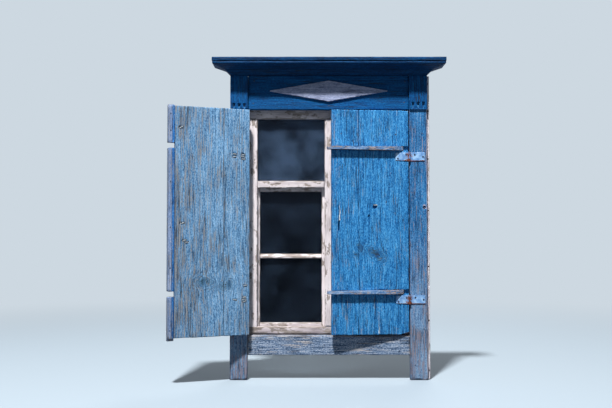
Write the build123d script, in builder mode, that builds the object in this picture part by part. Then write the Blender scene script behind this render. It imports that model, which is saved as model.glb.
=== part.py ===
from build123d import *
import os
from math import cos, radians, sin

# A village window: a box frame with two inward sashes, a board casing with a
# cornice, and two plank shutters on pinned hinges. Millimetres throughout:
# x runs right, y into the wall, z up. The origin is the middle of the box
# frame's front bottom edge, in the plane of the wall face.

# box frame
box_width = 764
box_height = 1048
box_depth = 65
lip_depth = 24
sill_face = 67
head_face = 70
post_face = 70
transom_face = 32
transom_bottom = 673
mullion_face = 34
rebate = 11
post_rebate = 14
box_tenon_width = 30
box_tenon_depth = 20
box_tenon_length = 26
arris_width = 2

# sashes
sash_gap = 2
sash_lip_gap = 1
stile_width = 22
rail_height = 24
meeting_bevel = 3
bar_height = 20
bar_face = 7.5
bar_core = 6
bar_setback = 8
bar_middle = 374
glazing_step = 8
glass_seat = 16
glass_thickness = 3
glass_play = 1
bead_width = 7
bead_depth = 10
bead_chamfer = 4
mitre_gap = 0.3
sash_tenon_height = 9
sash_tenon_depth = 12
sash_tenon_length = 9

# casing
casing_lap = 30
casing_board_width = 78
casing_board_depth = 32
casing_leg = 160
apron_lap = 32
apron_drop = 54
apron_depth = 26
frieze_lap = 33
frieze_height = 150
frieze_depth = 28
lozenge_half_width = 257
lozenge_half_height = 46.5
lozenge_tip = 2
lozenge_rise = 6
lozenge_depth = 8
cap_depth = 8
notch_count = 3
notch_pitch = 23
notch_width = 12.5
notch_stem = 3
notch_height = 26
notch_floor = 5
lath_width = 12
lath_depth = 15

# cornice
bed_height = 21
bed_rise = 22
bed_depth = 40
crown_rise = 50
crown_slope = 17
crown_fillet = 10
crown_thickness = 20
cap_board_height = 18
cap_board_lap = 2

# shutters
shutter_depth = 25
shutter_bottom_gap = 4
shutter_top_gap = 4
hinge_edge_gap = 1
leaf_edge_gap = 1.5
meeting_line = 7
meeting_gap = 4
left_swing_angle = 158
right_swing_angle = 7
left_seam = 117
right_seam = 222
edge_strip_width = 26
edge_strip_gap = 22
cover_lath_width = 30
cover_lath_depth = 14
cover_lath_rise = 8
cover_lath_drop = 14

# battens in dovetail grooves
upper_batten = 843
lower_batten = 220
batten_hinge_height = 20
batten_free_height = 13
batten_proud = 20
batten_start = 25
batten_bevel = 44
batten_overhang = 20
batten_tip_radius = 6
left_batten_end_gap = 5
groove_depth = 9
groove_angle = 12

# shutter hinges
upper_hinge = 808
lower_hinge = 187
hinge_height = 40
leaf_plate_width = 60
leaf_plate_end = 32
casing_plate_width = 68
casing_plate_end = 38
plate_thickness = 2
knuckle_radius = 5
pin_radius = 3
knuckle_gap = 0.3
running_fit = 0.05
pin_head_radius = 4.4
pin_head_height = 2
pin_tail = 2
screw_radius = 2
screw_length = 18
screw_head_radius = 4
screw_head_height = 1.6
screw_head_angle = 25
leaf_screws = [(14, 9), (50, -8)]
casing_screws = [(24, 9), (60, 0)]

# sash hinges and turn button
sash_hinge_end_distance = 90
sash_hinge_height = 50
sash_plate_width = 26
sash_knuckle_radius = 4
sash_pin_radius = 2.2
sash_pin_play = 2
button_height = 360
button_length = 64
button_width = 12
button_thickness = 6
button_play = 0.4
button_screw_radius = 2
button_screw_length = 22

# places worked out from the sizes
box_half = box_width / 2
light_half = box_half - post_face
post_seat = light_half + post_rebate
sill_rear = sill_face - rebate
head_front = box_height - head_face
head_rear = head_front + rebate
transom_top = transom_bottom + transom_face
mullion_half = mullion_face / 2
mullion_core = mullion_half - rebate
box_tenon_y = (lip_depth + box_depth) / 2
post_tenon_x = (post_seat + box_half) / 2

sash_front = lip_depth + sash_lip_gap
sash_rear = box_depth
sash_outer = post_seat - sash_gap
sash_inner = mullion_core + sash_gap
sash_bottom = sill_rear + sash_gap
sash_top = transom_bottom + rebate - sash_gap
sight_outer = sash_outer - stile_width
sight_inner = sash_inner + stile_width
sight_bottom = sash_bottom + rail_height
sight_top = sash_top - rail_height
glass_front = sash_front + glass_seat
bar_low = bar_middle - bar_height / 2
bar_high = bar_middle + bar_height / 2

casing_half = box_half - casing_lap
casing_outer = casing_half + casing_board_width
casing_middle = casing_half + casing_board_width / 2
opening_bottom = apron_lap
opening_top = box_height - frieze_lap
casing_top = opening_top + frieze_height

knuckle_seat = knuckle_radius + knuckle_gap
pin_x = casing_half - hinge_edge_gap
pin_y = -casing_board_depth - knuckle_seat
leaf_front = knuckle_seat
leaf_back = leaf_front + shutter_depth
leaf_bottom = opening_bottom + shutter_bottom_gap
leaf_top = opening_top - shutter_top_gap
left_reach = pin_x + meeting_line - meeting_gap / 2
right_reach = pin_x - meeting_line - meeting_gap / 2
left_boards_end = left_reach - edge_strip_width
batten_slope = (batten_hinge_height - batten_free_height) / 2 / right_reach
far_out = 1.5 * left_reach

shutters = {
    "left": (-1, left_swing_angle, left_seam, left_boards_end),
    "right": (1, right_swing_angle, right_seam, right_reach),
}
batten_heights = {"upper": upper_batten, "lower": lower_batten}
hinge_heights = [upper_hinge, lower_hinge]
sash_hinge_heights = [sash_bottom + sash_hinge_end_distance, sash_top - sash_hinge_end_distance]

os.makedirs("parts", exist_ok=True)


def write(piece, name):
    piece.part.label = name
    export_step(piece.part, f"parts/{name}.step")


def outline(*points):
    # a face inside straight lines through the points
    Polygon(*points, align=None)


def rectangle(low, high):
    # a rectangular face between two opposite corners
    with Locations(((low[0] + high[0]) / 2, (low[1] + high[1]) / 2)):
        Rectangle(abs(high[0] - low[0]), abs(high[1] - low[1]))


def upright(low, high, *points, mode=Mode.ADD):
    # extrudes a plan outline between two heights
    with BuildSketch(Plane.XY.offset(low)) as plan:
        outline(*points)
    extrude(plan.sketch, amount=high - low, mode=mode)


def across(start, end, *points, mode=Mode.ADD):
    # extrudes a y-z outline between two places along x
    with BuildSketch(Plane.YZ.offset(min(start, end))) as section:
        outline(*points)
    extrude(section.sketch, amount=abs(end - start), mode=mode)


def frontal(back, front, low, high, mode=Mode.ADD):
    # a board parallel to the wall, between two x-z corners
    with BuildSketch(Plane.XZ.offset(-back)) as face:
        rectangle(low, high)
    extrude(face.sketch, amount=back - front, mode=mode)


# box frame

def box_tenon(x, width, low, high, mode=Mode.ADD):
    with BuildSketch(Plane.XY.offset(low)) as section:
        with Locations((x, box_tenon_y)):
            Rectangle(width, box_tenon_depth)
    extrude(section.sketch, amount=high - low, mode=mode)


def upright_tenons(x, width, mode=Mode.ADD):
    # stub tenons into the sill and the head
    box_tenon(x, width, sill_rear - box_tenon_length, sill_rear, mode)
    box_tenon(x, width, head_rear, head_rear + box_tenon_length, mode)


def mortises():
    for x in (-post_tenon_x, post_tenon_x):
        upright_tenons(x, box_tenon_width, Mode.SUBTRACT)
    upright_tenons(0, 2 * mullion_core, Mode.SUBTRACT)


with BuildPart() as box_sill:
    across(
        -box_half, box_half,
        (0, 0), (box_depth, 0), (box_depth, sill_rear), (lip_depth, sill_rear),
        (lip_depth, sill_face), (arris_width, sill_face), (0, sill_face - arris_width),
    )
    mortises()
write(box_sill, "box_sill")

with BuildPart() as box_head:
    across(
        -box_half, box_half,
        (0, box_height), (box_depth, box_height), (box_depth, head_rear),
        (lip_depth, head_rear), (lip_depth, head_front), (arris_width, head_front),
        (0, head_front + arris_width),
    )
    mortises()
write(box_head, "box_head")

# The transom's lip is cut away where the mullion's lip runs past it, and the
# mullion's core is cut away where the transom's core runs past it.
transom_core_low = transom_bottom + rebate
transom_core_high = transom_top - rebate
transom_tenon_reach = post_seat + box_tenon_length
with BuildPart() as transom:
    across(
        -light_half, light_half,
        (lip_depth, transom_bottom), (lip_depth, transom_top),
        (arris_width, transom_top), (0, transom_top - arris_width),
        (0, transom_bottom + arris_width), (arris_width, transom_bottom),
    )
    across(
        -post_seat, post_seat,
        (lip_depth, transom_core_low), (box_depth, transom_core_low),
        (box_depth, transom_core_high), (lip_depth, transom_core_high),
    )
    across(
        -transom_tenon_reach, transom_tenon_reach,
        (box_tenon_y - box_tenon_depth / 2, transom_core_low),
        (box_tenon_y + box_tenon_depth / 2, transom_core_low),
        (box_tenon_y + box_tenon_depth / 2, transom_core_high),
        (box_tenon_y - box_tenon_depth / 2, transom_core_high),
    )
    frontal(
        lip_depth, 0,
        (-mullion_half, transom_bottom), (mullion_half, transom_top),
        mode=Mode.SUBTRACT,
    )
write(transom, "transom")

with BuildPart() as mullion:
    upright(
        sill_face, head_front,
        (-mullion_half, lip_depth), (-mullion_half, arris_width),
        (arris_width - mullion_half, 0), (mullion_half - arris_width, 0),
        (mullion_half, arris_width), (mullion_half, lip_depth),
    )
    upright(
        sill_rear, head_rear,
        (-mullion_core, lip_depth), (mullion_core, lip_depth),
        (mullion_core, box_depth), (-mullion_core, box_depth),
    )
    upright_tenons(0, 2 * mullion_core)
    add(transom.part, mode=Mode.SUBTRACT)
    with BuildSketch(Plane.XZ.offset(-box_depth)):
        with Locations((0, button_height)):
            Circle(button_screw_radius)
    extrude(amount=button_screw_length, mode=Mode.SUBTRACT)
write(mullion, "mullion")

for side, name in ((-1, "left"), (1, "right")):
    with BuildPart() as box_post:
        upright(
            sill_rear, head_rear,
            (side * box_half, 0), (side * box_half, box_depth),
            (side * post_seat, box_depth), (side * post_seat, lip_depth),
            (side * light_half, lip_depth), (side * light_half, arris_width),
            (side * (light_half + arris_width), 0),
        )
        add(box_sill.part, mode=Mode.SUBTRACT)
        add(box_head.part, mode=Mode.SUBTRACT)
        upright_tenons(side * post_tenon_x, box_tenon_width)
        add(transom.part, mode=Mode.SUBTRACT)
    write(box_post, f"box_post_{name}")


# glass and glazing beads

def pane(x_limits, z_limits, front):
    # a sheet of glass with play all round, inside its rebate
    frontal(
        front + glass_thickness, front,
        (x_limits[0] + glass_play, z_limits[0] + glass_play),
        (x_limits[1] - glass_play, z_limits[1] - glass_play),
    )


def bead_ring(x_limits, z_limits, front):
    # four mitred beads round a pane, on its room side
    low, high = (x_limits[0], z_limits[0]), (x_limits[1], z_limits[1])
    width, height = high[0] - low[0], high[1] - low[1]
    middle = ((low[0] + high[0]) / 2, (low[1] + high[1]) / 2)
    back = front + glass_thickness + bead_depth
    with BuildSketch(Plane.XZ.offset(-back)) as ring:
        with Locations(middle):
            Rectangle(width, height)
            Rectangle(width - 2 * bead_width, height - 2 * bead_width, mode=Mode.SUBTRACT)
    extrude(ring.sketch, amount=bead_depth)
    room_face = faces(Select.LAST).sort_by(Axis.Y)[-1]
    chamfer(room_face.inner_wires()[0].edges(), bead_chamfer)
    with BuildSketch(Plane.XZ.offset(-back)) as mitres:
        for corner_x, turn in ((low[0], 1), (high[0], -1)):
            for corner_z, tilt in ((low[1], 1), (high[1], -1)):
                with Locations(Location((corner_x, corner_z), 45 * turn * tilt)):
                    Rectangle(4 * bead_width, mitre_gap)
    extrude(mitres.sketch, amount=bead_depth, mode=Mode.SUBTRACT)


def top_light(side):
    # limits of one pane's rebate above the transom
    near, far = side * mullion_core, side * post_seat
    return (min(near, far), max(near, far)), (transom_core_high, head_rear)


with BuildPart() as top_light_panes:
    for side in (-1, 1):
        pane(*top_light(side), lip_depth)
write(top_light_panes, "top_light_panes")

with BuildPart() as top_light_beads:
    for side in (-1, 1):
        bead_ring(*top_light(side), lip_depth)
write(top_light_beads, "top_light_beads")


# sashes

rail_tenon_y = (glass_front + sash_rear) / 2


def sash_bar(side, *points):
    # the front of a rail or bar between the stiles, cut from a y-z outline
    across(side * sight_inner, side * sight_outer, *points)


def sash_core(side, low, high, back):
    # the part of a rail or bar behind the glass line, with a stub tenon at each end
    step_inner = side * (sight_inner - glazing_step)
    step_outer = side * (sight_outer + glazing_step)
    across(
        step_inner, step_outer,
        (glass_front, low), (back, low), (back, high), (glass_front, high),
    )
    half_height = min(sash_tenon_height, high - low) / 2
    middle = (low + high) / 2
    tenon_back = min(back, rail_tenon_y + sash_tenon_depth / 2)
    tenon_front = tenon_back - sash_tenon_depth
    across(
        step_inner - side * sash_tenon_length, step_outer + side * sash_tenon_length,
        (tenon_front, middle - half_height), (tenon_back, middle - half_height),
        (tenon_back, middle + half_height), (tenon_front, middle + half_height),
    )


def pane_limits(side):
    # x limits, then the z limits of the lower and the upper pane's rebate
    near = side * (sight_inner - glazing_step)
    far = side * (sight_outer + glazing_step)
    low = (sight_bottom - glazing_step, bar_middle - bar_core / 2)
    high = (bar_middle + bar_core / 2, sight_top + glazing_step)
    return (min(near, far), max(near, far)), (low, high)


for side, name in ((-1, "left"), (1, "right")):
    with BuildPart() as bottom_rail:
        sash_bar(
            side,
            (sash_front, sash_bottom), (glass_front, sash_bottom),
            (glass_front, sight_bottom), (sash_front + arris_width, sight_bottom),
            (sash_front, sight_bottom - arris_width),
        )
        sash_core(side, sash_bottom, sight_bottom - glazing_step, sash_rear)
    write(bottom_rail, f"{name}_sash_bottom_rail")

    with BuildPart() as top_rail:
        sash_bar(
            side,
            (sash_front, sash_top), (glass_front, sash_top),
            (glass_front, sight_top), (sash_front + arris_width, sight_top),
            (sash_front, sight_top + arris_width),
        )
        sash_core(side, sight_top + glazing_step, sash_top, sash_rear)
    write(top_rail, f"{name}_sash_top_rail")

    # the bar's upper front edge slopes back to shed water
    with BuildPart() as glazing_bar:
        sash_bar(
            side,
            (sash_front, bar_low), (glass_front, bar_low), (glass_front, bar_high),
            (glass_front - arris_width, bar_high), (sash_front, bar_low + bar_face),
        )
        sash_core(
            side, bar_middle - bar_core / 2, bar_middle + bar_core / 2,
            sash_rear - bar_setback,
        )
    write(glazing_bar, f"{name}_sash_glazing_bar")

    stile_profiles = {
        "hinge": (
            (side * sash_outer, sash_front), (side * sash_outer, sash_rear),
            (side * (sight_outer + glazing_step), sash_rear),
            (side * (sight_outer + glazing_step), glass_front),
            (side * sight_outer, glass_front),
            (side * sight_outer, sash_front + arris_width),
            (side * (sight_outer + arris_width), sash_front),
        ),
        "meeting": (
            (side * (sash_inner + meeting_bevel), sash_front),
            (side * sash_inner, sash_rear),
            (side * (sight_inner - glazing_step), sash_rear),
            (side * (sight_inner - glazing_step), glass_front),
            (side * sight_inner, glass_front),
            (side * sight_inner, sash_front + arris_width),
            (side * (sight_inner - arris_width), sash_front),
        ),
    }
    for kind, profile in stile_profiles.items():
        with BuildPart() as stile:
            upright(sash_bottom, sash_top, *profile)
            for crossing in (bottom_rail, top_rail, glazing_bar):
                add(crossing.part, mode=Mode.SUBTRACT)
        write(stile, f"{name}_sash_{kind}_stile")

    pane_x, pane_heights = pane_limits(side)
    with BuildPart() as sash_panes:
        for pane_z in pane_heights:
            pane(pane_x, pane_z, glass_front)
    write(sash_panes, f"{name}_sash_panes")

    with BuildPart() as sash_beads:
        for pane_z in pane_heights:
            bead_ring(pane_x, pane_z, glass_front)
    write(sash_beads, f"{name}_sash_beads")


# hinges

def shifted(plane, depth_side, depth, height=0):
    # the plane moved along its y towards the plate's seat, and up its z
    offset = plane.y_dir * (depth_side * depth) + plane.z_dir * height
    return Plane(origin=plane.origin + offset, x_dir=plane.x_dir, z_dir=plane.z_dir)


def facing(plane, depth_side, depth, height=0):
    # a plane parallel to the plate's face: x along the plate, z into what it seats on
    base = shifted(plane, depth_side, depth, height)
    return Plane(origin=base.origin, x_dir=base.x_dir, z_dir=base.y_dir * depth_side)


def hinge_leaf(pin, depth_side, width, height, end_height, radius, bore, knuckles):
    # A plate whose knuckles are rolled round the pin axis. The pin plane sits at
    # the hinge's foot, and knuckles holds the own ones' bottom and top heights.
    seat = radius + knuckle_gap
    with BuildSketch(facing(pin, depth_side, seat - plate_thickness, height / 2)) as plate:
        outline(
            (0, height / 2), (width, end_height / 2),
            (width, -end_height / 2), (0, -height / 2),
        )
    extrude(plate.sketch, amount=plate_thickness)
    with BuildSketch(pin) as swing:
        Circle(radius + 2 * knuckle_gap)
    extrude(swing.sketch, amount=height, mode=Mode.SUBTRACT)
    for low, high in knuckles:
        with BuildSketch(shifted(pin, depth_side, 0, low)) as knuckle:
            Circle(radius)
            rectangle(
                (0, depth_side * (seat - plate_thickness)),
                (radius + 3 * knuckle_gap, depth_side * seat),
            )
        extrude(knuckle.sketch, amount=high - low)
    if bore:
        with BuildSketch(pin) as hole:
            Circle(bore)
        extrude(hole.sketch, amount=height, mode=Mode.SUBTRACT)


def shutter_pin(side, toward, opening, height):
    # at a shutter's pin: x along its leaf or its casing plate, z up
    turn = radians(opening)
    return Plane(
        origin=(side * pin_x, pin_y, height),
        x_dir=(toward * cos(turn), -sin(turn), 0),
        z_dir=(0, 0, 1),
    )


def screw_circles(pin, depth_side, places, radius):
    # circles on a shutter hinge plate's outer face, at its screws
    face = facing(pin, depth_side, knuckle_seat - plate_thickness, hinge_height / 2)
    with BuildSketch(face) as circles:
        for along, up in places:
            with Locations((along, -depth_side * up)):
                Circle(radius)
    return circles.sketch


def screw_holes(pin, depth_side, places):
    circles = screw_circles(pin, depth_side, places, screw_radius + running_fit)
    extrude(circles, amount=plate_thickness + screw_length, mode=Mode.SUBTRACT)


def screws(pin, depth_side, places):
    # round-headed screws through a plate
    shanks = screw_circles(pin, depth_side, places, screw_radius)
    extrude(shanks, amount=plate_thickness + screw_length)
    heads = screw_circles(pin, depth_side, places, screw_head_radius)
    extrude(heads, amount=-screw_head_height, taper=screw_head_angle)


knuckle_length = (hinge_height - 2 * knuckle_gap) / 3
casing_knuckles = [(0, knuckle_length), (hinge_height - knuckle_length, hinge_height)]
leaf_knuckles = [(knuckle_length + knuckle_gap, 2 * knuckle_length + knuckle_gap)]


def casing_pins(side):
    # the two pin planes of a side, for what is fixed to the casing
    return [shutter_pin(side, side, 0, z - hinge_height / 2) for z in hinge_heights]


def leaf_pins(side, opening):
    # the same planes turned with the leaf
    return [shutter_pin(side, -side, opening, z - hinge_height / 2) for z in hinge_heights]


for name, (side, opening, seam, end) in shutters.items():
    with BuildPart() as casing_hinge_leaves:
        for pin in casing_pins(side):
            hinge_leaf(
                pin, side, casing_plate_width, hinge_height, casing_plate_end,
                knuckle_radius, pin_radius + running_fit, casing_knuckles,
            )
            screw_holes(pin, side, casing_screws)
    write(casing_hinge_leaves, f"casing_hinge_leaves_{name}")

with BuildPart() as casing_hinge_screws:
    for side in (-1, 1):
        for pin in casing_pins(side):
            screws(pin, side, casing_screws)
write(casing_hinge_screws, "casing_hinge_screws")

with BuildPart() as shutter_hinge_pins:
    for side in (-1, 1):
        for pin in casing_pins(side):
            with BuildSketch(pin.offset(-pin_tail)):
                Circle(pin_radius)
            extrude(amount=hinge_height + pin_tail)
            with BuildSketch(pin.offset(hinge_height)):
                Circle(pin_head_radius)
            extrude(amount=pin_head_height, taper=screw_head_angle)
write(shutter_hinge_pins, "shutter_hinge_pins")


# casing

for side, name in ((-1, "left"), (1, "right")):
    with BuildPart() as casing_board:
        upright(
            -casing_leg, casing_top,
            (side * casing_half, 0), (side * casing_outer, 0),
            (side * casing_outer, arris_width - casing_board_depth),
            (side * (casing_outer - arris_width), -casing_board_depth),
            (side * (casing_half + arris_width), -casing_board_depth),
            (side * casing_half, arris_width - casing_board_depth),
        )
        for pin in casing_pins(side):
            screw_holes(pin, side, casing_screws)
    write(casing_board, f"casing_board_{name}")

    # Carved notches, wide above and narrow below. The left cap's run out at the
    # bottom edge, and the right cap's stop short of it.
    floor = notch_floor * (side + 1) / 2
    with BuildPart() as pilaster_cap:
        frontal(
            -casing_board_depth, -casing_board_depth - cap_depth,
            (side * casing_half, opening_top), (side * casing_outer, casing_top),
        )
        with BuildSketch(Plane.XZ.offset(casing_board_depth)):
            with Locations((side * casing_middle, opening_top + floor)):
                with GridLocations(notch_pitch, 0, notch_count, 1):
                    outline(
                        (-notch_stem / 2, 0), (notch_stem / 2, 0),
                        (notch_width / 2, notch_height), (-notch_width / 2, notch_height),
                    )
        extrude(amount=cap_depth, mode=Mode.SUBTRACT)
    write(pilaster_cap, f"pilaster_cap_{name}")

with BuildPart() as apron_board:
    across(
        -casing_half, casing_half,
        (0, -apron_drop), (0, opening_bottom), (2 * arris_width - apron_depth, opening_bottom),
        (-apron_depth, opening_bottom - 2 * arris_width), (-apron_depth, -apron_drop),
    )
write(apron_board, "apron_board")

with BuildPart() as frieze_board:
    frontal(0, -frieze_depth, (-casing_half, opening_top), (casing_half, casing_top))
write(frieze_board, "frieze_board")

lozenge_middle = (opening_top + casing_top) / 2 + lozenge_rise
with BuildPart() as frieze_lozenge:
    with BuildSketch(Plane.XZ.offset(frieze_depth)):
        outline(
            (-lozenge_half_width, lozenge_middle - lozenge_tip),
            (0, lozenge_middle - lozenge_half_height),
            (lozenge_half_width, lozenge_middle - lozenge_tip),
            (lozenge_half_width, lozenge_middle + lozenge_tip),
            (0, lozenge_middle + lozenge_half_height),
            (-lozenge_half_width, lozenge_middle + lozenge_tip),
        )
    extrude(amount=lozenge_depth)
write(frieze_lozenge, "frieze_lozenge")

with BuildPart() as scribe_lath:
    frontal(
        0, -lath_depth,
        (casing_outer, -casing_leg), (casing_outer + lath_width, casing_top),
    )
write(scribe_lath, "scribe_lath")


# cornice

bed_top = casing_top + bed_height
crown_top = bed_top + crown_slope + crown_fillet
bed_half = casing_outer + bed_rise
bed_front = bed_depth + bed_rise
cornice_half = bed_half + crown_rise + cap_board_lap
cornice_front = bed_front + crown_rise + cap_board_lap
cornice_top = crown_top + cap_board_height

with BuildPart() as cornice_bed_mould:
    with BuildSketch(Plane.XY.offset(casing_top)):
        rectangle((-casing_outer, -bed_depth), (casing_outer, 0))
    with BuildSketch(Plane.XY.offset(bed_top)):
        rectangle((-bed_half, -bed_front), (bed_half, 0))
    loft()
write(cornice_bed_mould, "cornice_bed_mould")


def crown_profile(x_side=1, x_start=0):
    # the crown's section, measured outwards from the bed mould's upper edge
    points = [
        (0, bed_top), (crown_rise, bed_top + crown_slope), (crown_rise, crown_top),
        (-crown_thickness, crown_top), (-crown_thickness, bed_top),
    ]
    outline(*((x_start + x_side * out, z) for out, z in points))


def mitre_plane(side):
    # upright plane through the bed mould's front corner, halving the right angle
    return Plane(origin=(side * bed_half, -bed_front, 0), z_dir=(side, 1, 0))


with BuildPart() as cornice_crown_front:
    with BuildSketch(Plane.YZ.offset(-cornice_half)):
        crown_profile(-1, -bed_front)
    extrude(amount=2 * cornice_half)
    for side in (-1, 1):
        split(bisect_by=mitre_plane(side), keep=Keep.BOTTOM)
write(cornice_crown_front, "cornice_crown_front")

for side, name in ((-1, "left"), (1, "right")):
    with BuildPart() as crown_return:
        with BuildSketch(Plane.XZ):
            crown_profile(side, side * bed_half)
        extrude(amount=cornice_front)
        split(bisect_by=mitre_plane(side), keep=Keep.TOP)
    write(crown_return, f"cornice_crown_return_{name}")

with BuildPart() as cornice_cap_board:
    upright(
        crown_top, cornice_top,
        (-cornice_half, 0), (-cornice_half, -cornice_front),
        (cornice_half, -cornice_front), (cornice_half, 0),
    )
write(cornice_cap_board, "cornice_cap_board")


# shutters

def strip(side, opening, near, far, front, back, spans):
    # upright boards of one leaf, between two distances from the pin
    for low, high in spans:
        with BuildSketch(shutter_pin(side, -side, opening, low)) as section:
            rectangle((near, -side * front), (far, -side * back))
        extrude(section.sketch, amount=high - low)


def batten_half(along):
    # half the height of a batten and its groove, tapering to the free edge
    return batten_hinge_height / 2 - batten_slope * along


def batten_face(side, opening, height):
    # the tapered outline of a batten and its groove on the leaf's outer face,
    # longer than either at both ends
    pin = shutter_pin(side, -side, opening, height)
    with BuildSketch(facing(pin, -side, leaf_front)) as face:
        outline(
            (-far_out, batten_half(-far_out)), (far_out, batten_half(far_out)),
            (far_out, -batten_half(far_out)), (-far_out, -batten_half(-far_out)),
        )
    return face.sketch


def groove(side, opening, height):
    face = batten_face(side, opening, height)
    extrude(face, amount=groove_depth, taper=-groove_angle, mode=Mode.SUBTRACT)


def strip_spans(drop, rise):
    # three lengths, with a gap at each batten height for the other leaf's tips
    low, high = sorted(batten_heights.values())
    half_gap = edge_strip_gap / 2
    return [
        (leaf_bottom - drop, low - half_gap),
        (low + half_gap, high - half_gap),
        (high + half_gap, leaf_top + rise),
    ]


batten_tips = {
    "left": left_boards_end - left_batten_end_gap,
    "right": right_reach + batten_overhang,
}

for name, (side, opening, seam, end) in shutters.items():
    boards = {"hinge": (leaf_edge_gap, seam), "free": (seam, end)}
    for kind, (near, far) in boards.items():
        with BuildPart() as shutter_board:
            strip(side, opening, near, far, leaf_front, leaf_back, [(leaf_bottom, leaf_top)])
            chamfer(shutter_board.edges().filter_by(Axis.Z), arris_width / 2)
            for height in batten_heights.values():
                groove(side, opening, height)
            for pin in leaf_pins(side, opening):
                screw_holes(pin, -side, leaf_screws)
        write(shutter_board, f"{name}_shutter_{kind}_board")

    # the batten's side view is cut out of its tapered bar: bevelled at the hinge
    # end and rounded at the tip
    tip = batten_tips[name]
    for level, height in batten_heights.items():
        side_view = shutter_pin(side, -side, opening, height - batten_hinge_height)
        with BuildPart() as batten:
            face = batten_face(side, opening, height)
            extrude(face, amount=groove_depth, taper=-groove_angle)
            extrude(face, amount=-batten_proud)
            with BuildSketch(side_view):
                outline(
                    (batten_start, -side * (leaf_front + groove_depth)),
                    (batten_start, -side * leaf_front),
                    (batten_start + batten_bevel, -side * (leaf_front - batten_proud)),
                    (tip, -side * (leaf_front - batten_proud)),
                    (tip, -side * (leaf_front + groove_depth)),
                )
                fillet(vertices().sort_by(Axis.X)[-2:], batten_tip_radius)
            extrude(amount=2 * batten_hinge_height, mode=Mode.INTERSECT)
        write(batten, f"{name}_shutter_{level}_batten")

    with BuildPart() as shutter_hinge_leaves:
        for pin in leaf_pins(side, opening):
            hinge_leaf(
                pin, -side, leaf_plate_width, hinge_height, leaf_plate_end,
                knuckle_radius, pin_radius + running_fit, leaf_knuckles,
            )
            screw_holes(pin, -side, leaf_screws)
    write(shutter_hinge_leaves, f"{name}_shutter_hinge_leaves")

    with BuildPart() as shutter_screws:
        for pin in leaf_pins(side, opening):
            screws(pin, -side, leaf_screws)
    write(shutter_screws, f"{name}_shutter_screws")

# the left leaf's free edge
with BuildPart() as edge_strips:
    strip(
        -1, left_swing_angle, left_boards_end, left_reach, leaf_front, leaf_back,
        strip_spans(0, 0),
    )
write(edge_strips, "left_shutter_edge_strips")

with BuildPart() as cover_laths:
    strip(
        -1, left_swing_angle, left_reach - cover_lath_width, left_reach,
        leaf_front - cover_lath_depth, leaf_front,
        strip_spans(cover_lath_drop, cover_lath_rise),
    )
write(cover_laths, "left_shutter_cover_laths")


# sash hinges: the frame's lower knuckle holds a fixed pin, and the sash lifts off

sash_pin_x = (post_seat + sash_outer) / 2
sash_pin_y = box_depth + sash_knuckle_radius + knuckle_gap
sash_knuckle = (sash_hinge_height - knuckle_gap) / 2


def sash_pins(side, toward):
    return [
        Plane(
            origin=(side * sash_pin_x, sash_pin_y, z - sash_hinge_height / 2),
            x_dir=(toward, 0, 0),
            z_dir=(0, 0, 1),
        )
        for z in sash_hinge_heights
    ]


with BuildPart() as sash_hinge_frame_leaves:
    for side in (-1, 1):
        for pin in sash_pins(side, side):
            hinge_leaf(
                pin, -side, sash_plate_width, sash_hinge_height, sash_hinge_height,
                sash_knuckle_radius, 0, [(0, sash_knuckle)],
            )
            with BuildSketch(pin):
                Circle(sash_pin_radius)
            extrude(amount=sash_hinge_height - sash_pin_play)
write(sash_hinge_frame_leaves, "sash_hinge_frame_leaves")

for side, name in ((-1, "left"), (1, "right")):
    with BuildPart() as sash_hinge_leaves:
        for pin in sash_pins(side, -side):
            hinge_leaf(
                pin, side, sash_plate_width - glazing_step, sash_hinge_height,
                sash_hinge_height, sash_knuckle_radius, sash_pin_radius + running_fit,
                [(sash_knuckle + knuckle_gap, sash_hinge_height)],
            )
    write(sash_hinge_leaves, f"{name}_sash_hinge_leaves")


# turn button

button_front = box_depth + button_play
with BuildPart() as turn_button:
    with BuildSketch(Plane.XZ.offset(-button_front - button_thickness)):
        with Locations((0, button_height)):
            SlotOverall(button_length, button_width, rotation=90)
            Circle(button_screw_radius + running_fit, mode=Mode.SUBTRACT)
    extrude(amount=button_thickness)
write(turn_button, "turn_button")

button_rear = button_front + button_thickness + button_play
with BuildPart() as turn_button_screw:
    with BuildSketch(Plane.XZ.offset(-button_rear)):
        with Locations((0, button_height)):
            Circle(button_screw_radius)
    extrude(amount=button_screw_length + button_rear - box_depth)
    with BuildSketch(Plane.XZ.offset(-button_rear)):
        with Locations((0, button_height)):
            Circle(screw_head_radius)
    extrude(amount=-screw_head_height, taper=screw_head_angle)
write(turn_button_screw, "turn_button_screw")
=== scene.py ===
from contextlib import contextmanager
from functools import partial
import math
import random

import bpy
import numpy
from mathutils import Matrix, Vector


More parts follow.
